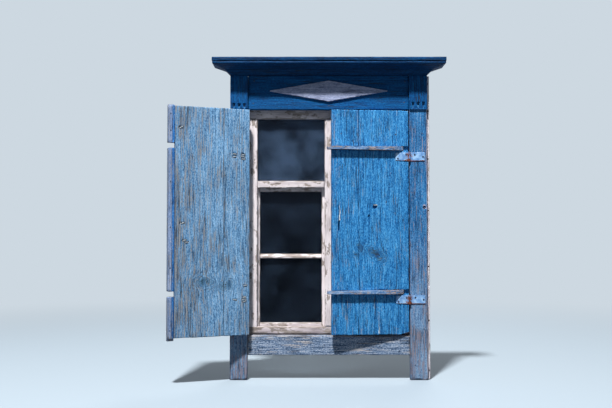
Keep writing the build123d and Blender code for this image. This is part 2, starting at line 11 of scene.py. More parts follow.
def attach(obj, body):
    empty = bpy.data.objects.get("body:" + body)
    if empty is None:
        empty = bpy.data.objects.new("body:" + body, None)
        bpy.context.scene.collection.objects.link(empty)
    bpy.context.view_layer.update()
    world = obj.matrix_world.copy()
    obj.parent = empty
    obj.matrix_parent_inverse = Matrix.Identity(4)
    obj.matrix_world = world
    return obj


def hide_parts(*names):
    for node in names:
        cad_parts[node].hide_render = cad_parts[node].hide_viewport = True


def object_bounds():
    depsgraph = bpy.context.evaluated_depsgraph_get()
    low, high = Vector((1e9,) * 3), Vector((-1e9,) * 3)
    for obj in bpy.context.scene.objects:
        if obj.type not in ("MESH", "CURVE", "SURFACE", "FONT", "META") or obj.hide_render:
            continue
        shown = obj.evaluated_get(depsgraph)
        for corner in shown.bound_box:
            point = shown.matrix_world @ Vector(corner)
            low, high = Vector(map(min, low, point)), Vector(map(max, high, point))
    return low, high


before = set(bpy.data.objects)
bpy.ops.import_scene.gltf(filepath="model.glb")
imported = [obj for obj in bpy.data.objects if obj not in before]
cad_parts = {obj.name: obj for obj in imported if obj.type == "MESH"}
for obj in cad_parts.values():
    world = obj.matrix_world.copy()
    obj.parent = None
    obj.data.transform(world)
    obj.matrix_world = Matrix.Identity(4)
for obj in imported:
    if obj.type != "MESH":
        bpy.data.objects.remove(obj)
cadLow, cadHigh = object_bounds()
scene = bpy.context.scene
mm = 0.001

# The shutters hang on pins at each side. Along a leaf is away from its pin, and into it is
# away from the face that looks outside when it is closed. Seen here are the back of the left
# leaf and the front of the right one, and shownFace is how far in they lie.
leaves = {
    "left": {"side": -1, "swing": math.radians(158), "shownFace": 30.3 * mm, "outward": 1},
    "right": {"side": 1, "swing": math.radians(7), "shownFace": 5.3 * mm, "outward": -1},
}
pin = {"x": 351 * mm, "y": -37.3 * mm}


def leafAxes(name):
    # unit vectors along a leaf and into its thickness
    leaf = leaves[name]
    along = Vector((-leaf["side"] * math.cos(leaf["swing"]), -math.sin(leaf["swing"]), 0))
    into = Vector((0, 0, 1)).cross(along) * -leaf["side"]
    return along, into


def leafPoint(name, along, into, height):
    alongAxis, intoAxis = leafAxes(name)
    foot = Vector((leaves[name]["side"] * pin["x"], pin["y"], height))
    return foot + alongAxis * along + intoAxis * into


def leafFace(name, along, height, proud=0.0):
    # a point on the face that is seen, from millimetres along and up, with the axes along
    # the leaf and out of the wood
    alongAxis, intoAxis = leafAxes(name)
    outward = intoAxis * leaves[name]["outward"]
    point = leafPoint(name, along * mm, leaves[name]["shownFace"], height * mm)
    return point + outward * proud * mm, alongAxis, outward


# working with pieces

def pick(*pieces):
    bpy.ops.object.select_all(action="DESELECT")
    for piece in pieces:
        piece.select_set(True)
    bpy.context.view_layer.objects.active = pieces[-1]


@contextmanager
def editing(piece, whole=True):
    # edit mode on one piece, with all of it selected or with what was selected before
    pick(piece)
    bpy.ops.object.mode_set(mode="EDIT")
    if whole:
        bpy.ops.mesh.select_all(action="SELECT")
    yield
    bpy.ops.object.mode_set(mode="OBJECT")


def makerName(nodeName):
    # a node's name of one word is taken, so its piece is called a bar
    words = nodeName.split("_")
    return words[0] + ("".join(word.title() for word in words[1:]) or "Bar")


def copyOfNode(nodeName):
    # a clean copy of a CAD node's mesh: welded, with its flat faces whole
    piece = bpy.data.objects.new(makerName(nodeName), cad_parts[nodeName].data.copy())
    scene.collection.objects.link(piece)
    with editing(piece):
        bpy.ops.mesh.remove_doubles(threshold=0.01 * mm)
        bpy.ops.mesh.dissolve_limited(angle_limit=math.radians(0.5))
    return piece


def finishPiece(piece, material, body, smooth=35):
    piece.data.materials.clear()
    piece.data.materials.append(materials[material])
    pick(piece)
    bpy.ops.object.shade_smooth_by_angle(angle=math.radians(smooth))
    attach(piece, body)


def bevelLongEdges(piece, width, shortest=12 * mm, sharp=60):
    # takes the sharpness off every long square edge; a planed chamfer stays as it is
    mesh = piece.data
    normals = {}
    for face in mesh.polygons:
        for key in face.edge_keys:
            normals.setdefault(key, []).append(face.normal)
    for element in (*mesh.vertices, *mesh.edges, *mesh.polygons):
        element.select = False
    for edge in mesh.edges:
        pair = normals.get(tuple(sorted(edge.vertices)), [])
        start, end = (mesh.vertices[index].co for index in edge.vertices)
        if len(pair) == 2 and (end - start).length > shortest:
            edge.select = pair[0].angle(pair[1]) > math.radians(sharp)
    with editing(piece, whole=False):
        bpy.ops.mesh.select_mode(type="EDGE")
        bpy.ops.mesh.bevel(offset=width, segments=2, affect="EDGES")


def cutAcross(piece, direction, spacing):
    # parallel cuts through the whole piece, so that its faces can take relief
    places = [vertex.co.dot(direction) for vertex in piece.data.vertices]
    low, high = min(places), max(places)
    count = int((high - low) / spacing)
    with editing(piece):
        for step in range(1, count):
            bpy.ops.mesh.select_all(action="SELECT")
            at = direction * (low + (high - low) * step / count)
            bpy.ops.mesh.bisect(plane_co=at, plane_no=direction)


# full wear is where a point's normal leans this much from a face beside it, as 1 less the
# cosine, and wear fainter than the second value moves nothing
fullWear, faintWear = 0.08, 0.05


def markArrises(piece):
    # a vertex attribute that is 1 on edges and 0 on flat faces
    mesh = piece.data
    faceNormals = numpy.empty(len(mesh.polygons) * 3)
    mesh.polygons.foreach_get("normal", faceNormals)
    pointNormals = numpy.empty(len(mesh.vertices) * 3)
    mesh.vertices.foreach_get("normal", pointNormals)
    sizes = numpy.empty(len(mesh.polygons), dtype=int)
    mesh.polygons.foreach_get("loop_total", sizes)
    corners = numpy.empty(len(mesh.loops), dtype=int)
    mesh.loops.foreach_get("vertex_index", corners)
    faceNormals = numpy.repeat(faceNormals.reshape(-1, 3), sizes, axis=0)
    agreement = (faceNormals * pointNormals.reshape(-1, 3)[corners]).sum(axis=1)
    least = numpy.ones(len(mesh.vertices))
    numpy.minimum.at(least, corners, agreement)
    wear = numpy.clip((1 - least) / fullWear, 0, 1)
    mesh.attributes.new("arrisWear", "FLOAT", "POINT").data.foreach_set("value", wear)
    return wear


def displace(piece, texture, stretch, strength, direction="NORMAL", weights=None):
    # moves the surface by a texture, and only inwards when strength is below zero
    made = piece.modifiers.new("wear", "DISPLACE")
    made.texture = texture
    made.texture_coords = "OBJECT"
    made.texture_coords_object = stretch
    made.direction = direction
    made.mid_level = 0
    made.strength = strength
    if weights is not None:
        group = piece.vertex_groups.new(name="worn")
        for index in numpy.nonzero(weights > faintWear)[0]:
            group.add([int(index)], float(weights[index]), "REPLACE")
        made.vertex_group = group.name
    pick(piece)
    bpy.ops.object.modifier_apply(modifier=made.name)
    piece.vertex_groups.clear()


def stretchHelper(name, scale):
    helper = bpy.data.objects.new(name, None)
    helper.scale = scale
    scene.collection.objects.link(helper)
    return helper


relief = {
    "stretch": 16, "waveSize": 60 * mm, "grainSize": 4 * mm, "chipSize": 16 * mm, "endSize": 38 * mm,
    "grainShare": 0.6, "chipShare": 1.1, "endBand": 2.5 * mm, "cutThrough": 1.5,
}
stretches = {
    "z": stretchHelper("uprightGrain", (1, 1, relief["stretch"])),
    "x": stretchHelper("levelGrain", (relief["stretch"], 1, 1)),
    "even": stretchHelper("evenGrain", (1, 1, 1)),
}
bpy.context.view_layer.update()


def cloudTexture(name, size, contrast, depth):
    texture = bpy.data.textures.new(name, "CLOUDS")
    texture.noise_scale = size
    texture.noise_depth = depth
    texture.contrast = contrast
    texture.use_clamp = True
    return texture


waveCloud = cloudTexture("boardWaves", relief["waveSize"], 1.2, 1)
grainCloud = cloudTexture("raisedGrain", relief["grainSize"], 2.2, 2)
chipCloud = cloudTexture("chippedArris", relief["chipSize"], 3.5, 2)
endCloud = cloudTexture("wornEndGrain", relief["endSize"], 1.6, 3)


def cutAway(piece, cutter):
    made = piece.modifiers.new("cut", "BOOLEAN")
    made.operation = "DIFFERENCE"
    made.solver = "EXACT"
    made.object = cutter
    pick(piece)
    bpy.ops.object.modifier_apply(modifier=made.name)
    bpy.data.objects.remove(cutter)


def waver(share, waves):
    # how far a broken edge strays from a straight line; a wave has a pace, a start and a size
    return sum(math.sin(share * pace + start) * size for pace, start, size in waves)


splitShape = {
    "rows": 9, "waves": [(9, 0, 0.5), (23, 1, 0.3)], "stray": 0.6, "slim": 1.05, "shallow": (1.1, 0.8),
}


def splitCutter(side, split, proud=0.0):
    # a wedge that narrows and wanders upwards, for a split along the grain of a leaf
    foot, acrossAxis, _ = leafFace(side, split["along"], split["foot"], proud)
    top = leafFace(side, split["along"], split["top"], proud)[0]
    intoAxis = leafAxes(side)[1]
    width, depth = split["width"] * mm, split["depth"] * mm
    length = (top - foot).length
    bpy.ops.object.select_all(action="DESELECT")
    bpy.ops.mesh.primitive_cube_add(size=1, scale=(width, 2 * depth, length))
    cutter = bpy.context.object
    bpy.ops.object.transform_apply(location=True, rotation=True, scale=True)
    cutAcross(cutter, Vector((0, 0, 1)), length / splitShape["rows"])
    up = (top - foot).normalized()
    deepest, rising = splitShape["shallow"]
    for vertex in cutter.data.vertices:
        share = vertex.co.z / length + 0.5
        stray = waver(share, splitShape["waves"]) * width * splitShape["stray"]
        sideways = vertex.co.x * (splitShape["slim"] - share) + stray
        inwards = vertex.co.y * (deepest - share * rising)
        vertex.co = foot + up * (share * length) + acrossAxis * sideways + intoAxis * inwards
    with editing(cutter):
        bpy.ops.mesh.normals_make_consistent(inside=False)
    return cutter


# materials

def toLinear(hexColour):
    parts = [int(hexColour[start:start + 2], 16) / 255 for start in (1, 3, 5)]
    return (*(((p + 0.055) / 1.055) ** 2.4 if p > 0.04045 else p / 12.92 for p in parts), 1)


def addNode(tree, kind, sockets=None, stops=(), out=0, **settings):
    # A node with its settings. Its sockets take a value or another node's output, and a
    # ramp takes stops of a place and a colour. It gives back the output that out names,
    # or the node itself.
    node = tree.nodes.new("ShaderNode" + kind)
    for name, value in settings.items():
        setattr(node, name, value)
    for name, value in (sockets or {}).items():
        if isinstance(value, bpy.types.NodeSocket):
            tree.links.new(value, node.inputs[name])
        else:
            node.inputs[name].default_value = value
    for index, (place, colour) in enumerate(stops):
        elements = node.color_ramp.elements
        element = elements[index] if index < len(elements) else elements.new(place)
        element.position = place
        element.color = toLinear(colour)
    return node if out is None else node.outputs[out]


def newMaterial(name, surface):
    # a material, addNode for its tree, and its surface node
    material = bpy.data.materials.new(name)
    material.use_nodes = True
    material.node_tree.nodes.clear()
    add = partial(addNode, material.node_tree)
    principled = add("BsdfPrincipled", surface, out=None)
    add("OutputMaterial", {"Surface": principled.outputs["BSDF"]}, out=None)
    return material, add, principled


def linkSockets(node, sockets):
    for name, socket in sockets.items():
        node.id_data.links.new(socket, node.inputs[name])


knotShape = {
    "unevenScale": 0.045, "uneven": 1.1, "core": (1.5, 0.4), "rings": 13.0, "ringReach": (2.6, 0.9),
}


def knotGroup():
    # Grain lines of a flat-sawn board flow round a knot as water flows round a post,
    # and growth rings close round its core. Centre and radius are in millimetres.
    group = bpy.data.node_groups.new("grainRoundKnot", "ShaderNodeTree")
    for name, kind, way in (
        ("Vector", "Vector", "INPUT"), ("Centre", "Vector", "INPUT"), ("Radius", "Float", "INPUT"),
        ("Squat", "Float", "INPUT"), ("Lean", "Float", "INPUT"),
        ("Vector", "Vector", "OUTPUT"), ("Core", "Float", "OUTPUT"), ("Rings", "Float", "OUTPUT"),
    ):
        group.interface.new_socket(name=name, in_out=way, socket_type="NodeSocket" + kind)
    source = group.nodes.new("NodeGroupInput")
    add = partial(addNode, group)
    offset = add(
        "VectorMath", {0: source.outputs["Vector"], 1: source.outputs["Centre"]},
        operation="SUBTRACT",
    )
    uneven = add("TexNoise", {"Vector": source.outputs["Vector"], "Scale": knotShape["unevenScale"]})
    parts = add("SeparateXYZ", {0: offset}, out=None)
    across = parts.outputs["X"]
    squat = add("Math", {0: parts.outputs["Z"], 1: source.outputs["Squat"]}, operation="MULTIPLY")
    leaning = add(
        "Math", {0: parts.outputs["Z"], 1: source.outputs["Lean"], 2: across},
        operation="MULTIPLY_ADD",
    )
    flat = add("CombineXYZ", {"X": leaning, "Z": squat})
    distance = add("VectorMath", {0: flat}, operation="LENGTH", out="Value")
    ratio = add("Math", {0: distance, 1: source.outputs["Radius"]}, operation="DIVIDE")
    ratio = add("Math", {0: uneven, 1: knotShape["uneven"], 2: ratio}, operation="MULTIPLY_ADD")
    ratio = add("Math", {0: ratio, 1: knotShape["uneven"] / 2}, operation="SUBTRACT")
    outside = add("Math", {0: ratio, 1: 1.0}, operation="MAXIMUM")
    squared = add("Math", {0: outside, 1: -2.0}, operation="POWER")
    pushed = add("Math", {0: squared, 1: across}, operation="MULTIPLY")
    moved = add("CombineXYZ", {"X": pushed})
    bent = add("VectorMath", {0: source.outputs["Vector"], 1: moved}, operation="SUBTRACT")
    core, reach = (
        add(
            "MapRange", {"Value": ratio, "From Min": low, "From Max": high},
            interpolation_type="SMOOTHSTEP",
        )
        for low, high in (knotShape["core"], knotShape["ringReach"])
    )
    wave = add("Math", {0: ratio, 1: knotShape["rings"]}, operation="MULTIPLY")
    wave = add("Math", {0: wave}, operation="SINE")
    wave = add("MapRange", {"Value": wave, "From Min": -0.2})
    rings = add("Math", {0: wave, 1: reach}, operation="MULTIPLY")
    sink = group.nodes.new("NodeGroupOutput")
    linkSockets(sink, {"Vector": bent, "Core": core, "Rings": rings})
    return group


grainRoundKnot = knotGroup()


def grainNoise(add, vector, across, along, detail=2.0, roughness=0.55):
    # noise drawn out along the grain; across and along are its sizes in millimetres
    squeezed = add("Mapping", {"Vector": vector, "Scale": (1 / across, 1 / across, 1 / along)})
    return add(
        "TexNoise", {"Vector": squeezed, "Scale": 1.0, "Detail": detail, "Roughness": roughness},
    )


def weightedSum(add, *terms):
    # terms are pairs of a socket and its weight
    total = 0.0
    for socket, weight in terms:
        total = add("Math", {0: socket, 1: weight, 2: total}, operation="MULTIPLY_ADD")
    return total


def inMillimetres(add, grain="z"):
    # object coordinates in metres, and in millimetres with Z turned along the grain
    place = add("TexCoord", out="Object")
    turn = math.pi / 2 if grain == "x" else 0
    turned = add("Mapping", {"Vector": place, "Rotation": (0, turn, 0), "Scale": (1000, 1000, 1000)})
    return place, turned


def boardShift(add):
    # moves the grain from board to board, so that no two are alike
    shift = add("Attribute", attribute_name="boardShift", out="Fac")
    return add("CombineXYZ", {"Y": shift})


def turnedPoint(point, grain):
    # where a point in metres falls in the millimetres of a board with that grain
    scaled = Vector(point) / mm
    if grain == "x":
        scaled.rotate(Matrix.Rotation(math.pi / 2, 3, "Y"))
    return tuple(scaled)


# what a finish has where it says nothing of its own; sizes are in millimetres, while
# fadeTop, fadeFoot and sideWearAndHighlightBetween are places in metres
usualFinish = {
    "grain": "z", "fibre": 3.0, "patch": 60.0, "wander": 22.0, "knots": (), "knotColour": "#3f4a52",
    "gloss": 0.15, "roughPaint": 0.62, "bump": 1.4, "spread": 0.1, "checkDark": 0.75,
    "fade": 0.0, "fadeTop": 0.9, "fadeFoot": -0.1, "wearStreak": 0.5, "wearPatch": 0.4, "soft": 0.1,
    "wearMost": 1.0, "wearArris": 0.1, "wearFoot": 0.0, "wearSide": 0.0, "sideWearAndHighlightBetween": (0.0, 1.0),
}
grainShape = {
    "fleck": 2.5, "line": 26, "boardWidth": 5, "boardLength": 40, "patch": 2.4, "wander": (60, 260),
}
checks = {"size": 7.0, "length": 34, "edge": 0.03, "middle": 0.01, "colour": "#1f2a3a"}


def paintedBoard(finish):
    # Oil paint brushed on sawn softwood and left out for decades. The soft early
    # wood has shrunk, so the paint wears off the raised lines first, chalks in the
    # sun, and shows grey wood in streaks along the grain.
    finish = {**usualFinish, **finish}
    material, add, principled = newMaterial(finish["name"], {"Specular IOR Level": finish["gloss"]})
    place, vector = inMillimetres(add, finish["grain"])
    knots = []
    for centre, radius, squat, lean in finish["knots"]:
        knot = add(
            "Group",
            {
                "Vector": vector, "Centre": turnedPoint(centre, finish["grain"]), "Radius": radius,
                "Squat": squat, "Lean": lean,
            },
            node_tree=grainRoundKnot, out=None,
        ).outputs
        vector = knot["Vector"]
        knots.append(knot)
    vector = add("VectorMath", {0: vector, 1: boardShift(add)})
    wander = grainNoise(add, vector, *grainShape["wander"], detail=1.0)
    lean = add("Math", {0: wander, 1: finish["wander"]}, operation="MULTIPLY")
    leaning = add("CombineXYZ", {"X": lean})
    lines = add("VectorMath", {0: vector, 1: leaning})

    fibreSize, streakSize, patchSize = finish["fibre"], finish["streak"], finish["patch"]
    fleck = grainNoise(add, lines, fibreSize, fibreSize * grainShape["fleck"])
    fibre = grainNoise(add, lines, fibreSize, fibreSize * grainShape["line"])
    streak = grainNoise(add, lines, streakSize, streakSize * grainShape["line"], detail=3.0)
    board = grainNoise(
        add, lines, streakSize * grainShape["boardWidth"], streakSize * grainShape["boardLength"],
    )
    patch = grainNoise(
        add, vector, patchSize, patchSize * grainShape["patch"], detail=4.0, roughness=0.6,
    )
    arris = add("Attribute", attribute_name="arrisWear", out="Fac")
    places = add("SeparateXYZ", {0: place}, out=None).outputs
    lowShare = add(
        "MapRange",
        {"Value": places["Z"], "From Min": finish["fadeTop"], "From Max": finish["fadeFoot"]},
    )
    # a share that grows towards one side, for side wear and for a painted highlight
    sideFrom, sideTo = finish["sideWearAndHighlightBetween"]
    sideWearAndHighlightShare = add("MapRange", {"Value": places["X"], "From Min": sideFrom, "From Max": sideTo})

    # paint, in three tones of each coat
    tone = weightedSum(add, (fleck, 0.42), (fibre, 0.4), (streak, 0.1), (board, 0.08))
    tonePlaces = (0.5 - finish["spread"], 0.5, 0.5 + finish["spread"])
    coats = {
        key: add("ValToRGB", {"Fac": tone}, zip(tonePlaces, finish[key]))
        for key in ("paint", "chalkPaint", "recessPaint") if key in finish
    }
    fresh = coats["paint"]
    if "recessPaint" in coats:
        recess = add("Attribute", attribute_name="recess", out="Fac")
        fresh = add("MixRGB", {"Fac": recess, "Color1": fresh, "Color2": coats["recessPaint"]})
    fading = add("Math", {0: lowShare, 1: finish["fade"]}, operation="MULTIPLY")
    chalk = coats.get("chalkPaint", fresh)
    faded = add("MixRGB", {"Fac": fading, "Color1": fresh, "Color2": chalk})

    # bare wood
    bareTone = weightedSum(add, (fleck, 0.3), (fibre, 0.4), (streak, 0.3))
    bare = add("ValToRGB", {"Fac": bareTone}, zip((0.38, 0.62), finish["wood"]))
    exposure = weightedSum(
        add, (fibre, finish["wearFibre"] * 0.62), (fleck, finish["wearFibre"] * 0.38),
        (streak, finish["wearStreak"]), (patch, finish["wearPatch"]), (arris, finish["wearArris"]),
        (lowShare, finish["wearFoot"]), (sideWearAndHighlightShare, finish["wearSide"]),
    )
    base = (finish["wearFibre"] + finish["wearStreak"] + finish["wearPatch"]) / 2
    start = base + finish["keep"]
    worn = add(
        "MapRange",
        {
            "Value": exposure, "From Min": start, "From Max": start + finish["soft"],
            "To Max": finish["wearMost"],
        },
        interpolation_type="SMOOTHSTEP",
    )
    colour = add("MixRGB", {"Fac": worn, "Color1": faded, "Color2": bare})
    # painted highlight: arrises turn pale towards one side, like a side face that catches the light
    if "arrisHighlight" in finish:
        highlightShare = add("Math", {0: arris, 1: sideWearAndHighlightShare}, operation="MULTIPLY")
        colour = add(
            "MixRGB", {"Fac": highlightShare, "Color1": colour, "Color2": toLinear(finish["arrisHighlight"])},
        )

    # fine checks along the grain
    check = grainNoise(add, lines, checks["size"], checks["size"] * checks["length"], detail=1.0)
    offset = add("Math", {0: check, 1: 0.5}, operation="SUBTRACT")
    offset = add("Math", {0: offset}, operation="ABSOLUTE")
    gaps = add(
        "MapRange", {"Value": offset, "From Min": checks["edge"], "From Max": checks["middle"]},
    )
    where = add("MapRange", {"Value": patch, "From Min": 0.42, "From Max": 0.56})
    gaps = add("Math", {0: gaps, 1: where}, operation="MULTIPLY")
    depth = add("Math", {0: gaps, 1: finish["checkDark"]}, operation="MULTIPLY")
    colour = add("MixRGB", {"Fac": depth, "Color1": colour, "Color2": toLinear(checks["colour"])})

    # the paint breaks over growth rings and hearts of knots
    broken = add("MapRange", {"Value": fleck, "From Min": 0.4, "From Max": 0.6, "To Min": 0.1})
    for knot in knots:
        rings = add("Math", {0: knot["Rings"], 1: broken}, operation="MULTIPLY")
        rings = add("Math", {0: rings, 1: 0.85}, operation="MULTIPLY")
        heart = add("Math", {0: knot["Core"], 1: broken}, operation="MULTIPLY")
        share = add("Math", {0: rings, 1: heart}, operation="MAXIMUM")
        colour = add(
            "MixRGB", {"Fac": share, "Color1": colour, "Color2": toLinear(finish["knotColour"])},
        )

    # relief
    height = weightedSum(add, (fleck, 0.3), (fibre, 0.7), (streak, 0.5), (worn, -0.18), (gaps, -0.8))
    bump = add("Bump", {"Height": height, "Distance": finish["bump"] * mm, "Strength": 0.8})
    rough = add("MapRange", {"Value": worn, "To Min": finish["roughPaint"], "To Max": 0.9})
    linkSockets(principled, {"Base Color": colour, "Roughness": rough, "Normal": bump})
    return material


def knotsOn(side, rows):
    # each row: millimetres along the leaf and up, radius, squat and lean
    return [(leafFace(side, along, height)[0], *shape) for along, height, *shape in rows]


leftKnots = knotsOn("left", [(198, 268, 27.0, 1.5, 0.2), (118, 254, 21.0, 1.1, -0.5)])
rightKnots = knotsOn(
    "right", [(152, 386, 24.0, 0.95, 0.7), (204, 414, 15.0, 1.0, 0.4), (228, 382, 11.0, 1.2, 0.2)],
)
# what boards in full sun share, and pieces whose grain lies level
sunned = {"streak": 5.0, "wearFibre": 0.8, "wander": 6.0}
levelGrain = {"grain": "x", "fibre": 3.4, "wearFibre": 0.5, "wearStreak": 0.4, "wander": 5.0}
finishes = {
    "leftLeaf": {
        **sunned, "name": "thinBlueOilPaintOnPine", "paint": ("#355b80", "#6694bc", "#9dc7e9"),
        "wood": ("#3a3c40", "#918b86"), "patch": 75.0, "spread": 0.095, "wearPatch": 0.25,
        "keep": 0.015, "soft": 0.12, "wearMost": 0.85, "knots": leftKnots, "bump": 1.6,
        "wearArris": 0.05, "sideWearAndHighlightBetween": (-0.48, -0.66), "wearSide": 0.08, "knotColour": "#2b4655",
    },
    "rightLeaf": {
        **sunned, "name": "brightBlueOilPaintOnPine", "paint": ("#0d467c", "#2879b6", "#54a2d7"),
        "wood": ("#3c4858", "#857d80"), "spread": 0.095, "wearPatch": 0.3,
        "keep": 0.09, "wearMost": 0.8, "knots": rightKnots, "bump": 1.3,
        "wearArris": 0.06, "sideWearAndHighlightBetween": (0.05, 0.015), "wearSide": 0.07, "knotColour": "#2c4256",
    },
    "casing": {
        **sunned, "name": "chalkedBlueOilPaintOnPine", "paint": ("#10406e", "#2b6aa0", "#5192c2"),
        "wood": ("#47485a", "#88838f"), "wearPatch": 0.3, "keep": 0.06,
        "chalkPaint": ("#4b6180", "#7593b2", "#9fbbd4"), "fade": 0.9, "fadeTop": 0.5, "fadeFoot": -0.02,
        "wearFoot": 0.08, "bump": 1.3, "wearArris": 0.08,
        # a painted highlight makes the outer arrises of the right casing board pale
        "sideWearAndHighlightBetween": (0.4, 0.42), "arrisHighlight": "#c9bfcd",
    },
    "apron": {
        "name": "chalkedBlueOilPaintOnSill", "grain": "x", "paint": ("#2c4059", "#6a809d", "#b0bccd"),
        "wood": ("#37373d", "#bdb7b5"), "streak": 5.5, "patch": 55.0, "spread": 0.08,
        "wearFibre": 0.7, "keep": 0.04, "wearMost": 0.9, "bump": 1.6, "wearArris": 0.24, "wander": 5.0,
    },
    # the sheltered paint has faded less, and its dark tones also hold painted shade of the eave over
    # the frieze and the caps
    "sheltered": {
        **levelGrain, "name": "shelteredBlueOilPaintOnPine", "paint": ("#04305c", "#07477d", "#10619a"),
        "wood": ("#22344c", "#4b6078"), "streak": 7.5, "keep": 0.16, "wearMost": 0.6,
        "wearArris": 0.06, "gloss": 0.1, "roughPaint": 0.6, "checkDark": 0.85,
    },
    "lozenge": {
        **levelGrain, "name": "greyMauveOilPaintOnPine", "paint": ("#77809f", "#9099b7", "#abb3cc"),
        "wood": ("#4e4f5c", "#85848f"), "streak": 9.0, "patch": 50.0, "keep": 0.2,
        "bump": 1.0, "wearArris": 0.08,
    },
    "lath": {
        "name": "limewashedPineLath", "paint": ("#b8b4bd", "#d8d3da", "#efebee"),
        "wood": ("#665a55", "#a39387"), "streak": 6.0, "patch": 22.0,
        "wearFibre": 0.4, "wearStreak": 0.3, "wearPatch": 0.9, "keep": 0.17, "soft": 0.06,
    },
    "batten": {
        **levelGrain, "name": "peeledBlueOilPaintOnBatten", "paint": ("#37669a", "#6d8fb6", "#a0b3cc"),
        "wood": ("#5f575b", "#a69a9a"), "streak": 7.0, "patch": 45.0, "wearPatch": 0.5, "keep": 0.0,
        "wearArris": 0.15, "wander": 4.0,
    },
}
# the cornice's paint is darker still: painted shade of the eave
finishes["cornice"] = {
    **finishes["sheltered"], "name": "shelteredBlueOilPaintOnCornice",
    "paint": ("#022140", "#05315a", "#0a4470"),
}
finishes["shelteredUpright"] = {
    **finishes["sheltered"], "name": "shelteredBlueOilPaintOnPost", "grain": "z",
}
finishes["edgeStrip"] = {
    **finishes["leftLeaf"], "name": "thinBlueOilPaintOnEdgeStrip", "knots": (),
    "paint": ("#5b76a0", "#8397ba", "#aabbd8"), "recessPaint": ("#1c5290", "#2f6fb2", "#5b97d2"),
    "wearSide": 0.0,
}
finishes["coverLath"] = {
    **finishes["leftLeaf"], "name": "thinBlueOilPaintOnLath", "knots": (),
    "paint": ("#5b7ba3", "#8197b8", "#a9bbd6"),
}
finishes["paleSliver"] = {
    **finishes["lath"], "name": "freshlySplitPine", "keep": 0.3,
    "paint": ("#9aa6ac", "#c3cdd0", "#e2e8e6"),
}


# how wide and how long fibres, clouds of loss, stains and paint scales are, in millimetres
peeling = {"fibre": (2.2, 50), "cloud": (26, 60), "stain": (60, 150), "scale": (7, 16)}


def peelingWhite(name, grain, kept, whites=("#b3a8aa", "#d8cecf", "#ece4e5")):
    # White oil paint in many coats on pine. It crazes into scales that lift and drop
    # off, so the edges of each loss are sharp, with weathered wood beneath.
    material, add, principled = newMaterial(name, {"Specular IOR Level": 0.3})
    vector = inMillimetres(add, grain)[1]
    vector = add("VectorMath", {0: vector, 1: boardShift(add)})
    fibre = grainNoise(add, vector, *peeling["fibre"], detail=3.0)
    cloud = grainNoise(add, vector, *peeling["cloud"], detail=4.0, roughness=0.65)
    stain = grainNoise(add, vector, *peeling["stain"], detail=3.0)
    arris = add("Attribute", attribute_name="arrisWear", out="Fac")
    wide, tall = peeling["scale"]
    scales = add("Mapping", {"Vector": vector, "Scale": (1 / wide, 1 / wide, 1 / tall)})
    crazing = add("TexVoronoi", {"Vector": scales, "Scale": 1.0}, feature="DISTANCE_TO_EDGE")
    flake = add("TexVoronoi", {"Vector": scales, "Scale": 1.0}, out="Color")
    flakeShare = add("SeparateColor", {0: flake})
    loss = weightedSum(add, (cloud, 1.0), (flakeShare, 0.10), (arris, 0.12), (fibre, 0.12))
    lost = add("MapRange", {"Value": loss, "From Min": kept, "From Max": kept + 0.02})
    crack = add("MapRange", {"Value": crazing, "From Min": 0.05, "From Max": 0.01})
    crackPlace = add("MapRange", {"Value": cloud, "From Min": 0.5, "From Max": 0.62, "To Max": 0.5})
    crack = add("Math", {0: crack, 1: crackPlace}, operation="MULTIPLY")
    stained = weightedSum(add, (stain, 0.6), (fibre, 0.4))
    white = add("ValToRGB", {"Fac": stained}, zip((0.36, 0.48, 0.62), whites))
    wood = add("ValToRGB", {"Fac": fibre}, [(0.36, "#6b615d"), (0.62, "#ab9f98")])
    colour = add("MixRGB", {"Fac": crack, "Color1": white, "Color2": toLinear("#6c6464")})
    colour = add("MixRGB", {"Fac": lost, "Color1": colour, "Color2": wood})
    height = weightedSum(add, (lost, -0.7), (crack, -0.5), (fibre, 0.35))
    bump = add("Bump", {"Height": height, "Distance": 0.8 * mm, "Strength": 0.8})
    rough = add("MapRange", {"Value": lost, "To Min": 0.5, "To Max": 0.9})
    linkSockets(principled, {"Base Color": colour, "Roughness": rough, "Normal": bump})
    return material


# round a wet knuckle and a plate's lower edge: where rust starts and where it is full, in
# millimetres, and how strong it is there
rusting = {"knuckle": (28.6, 0.0, 0.42), "edge": (7.0, 2.5, 0.38), "edgeDrop": 20}


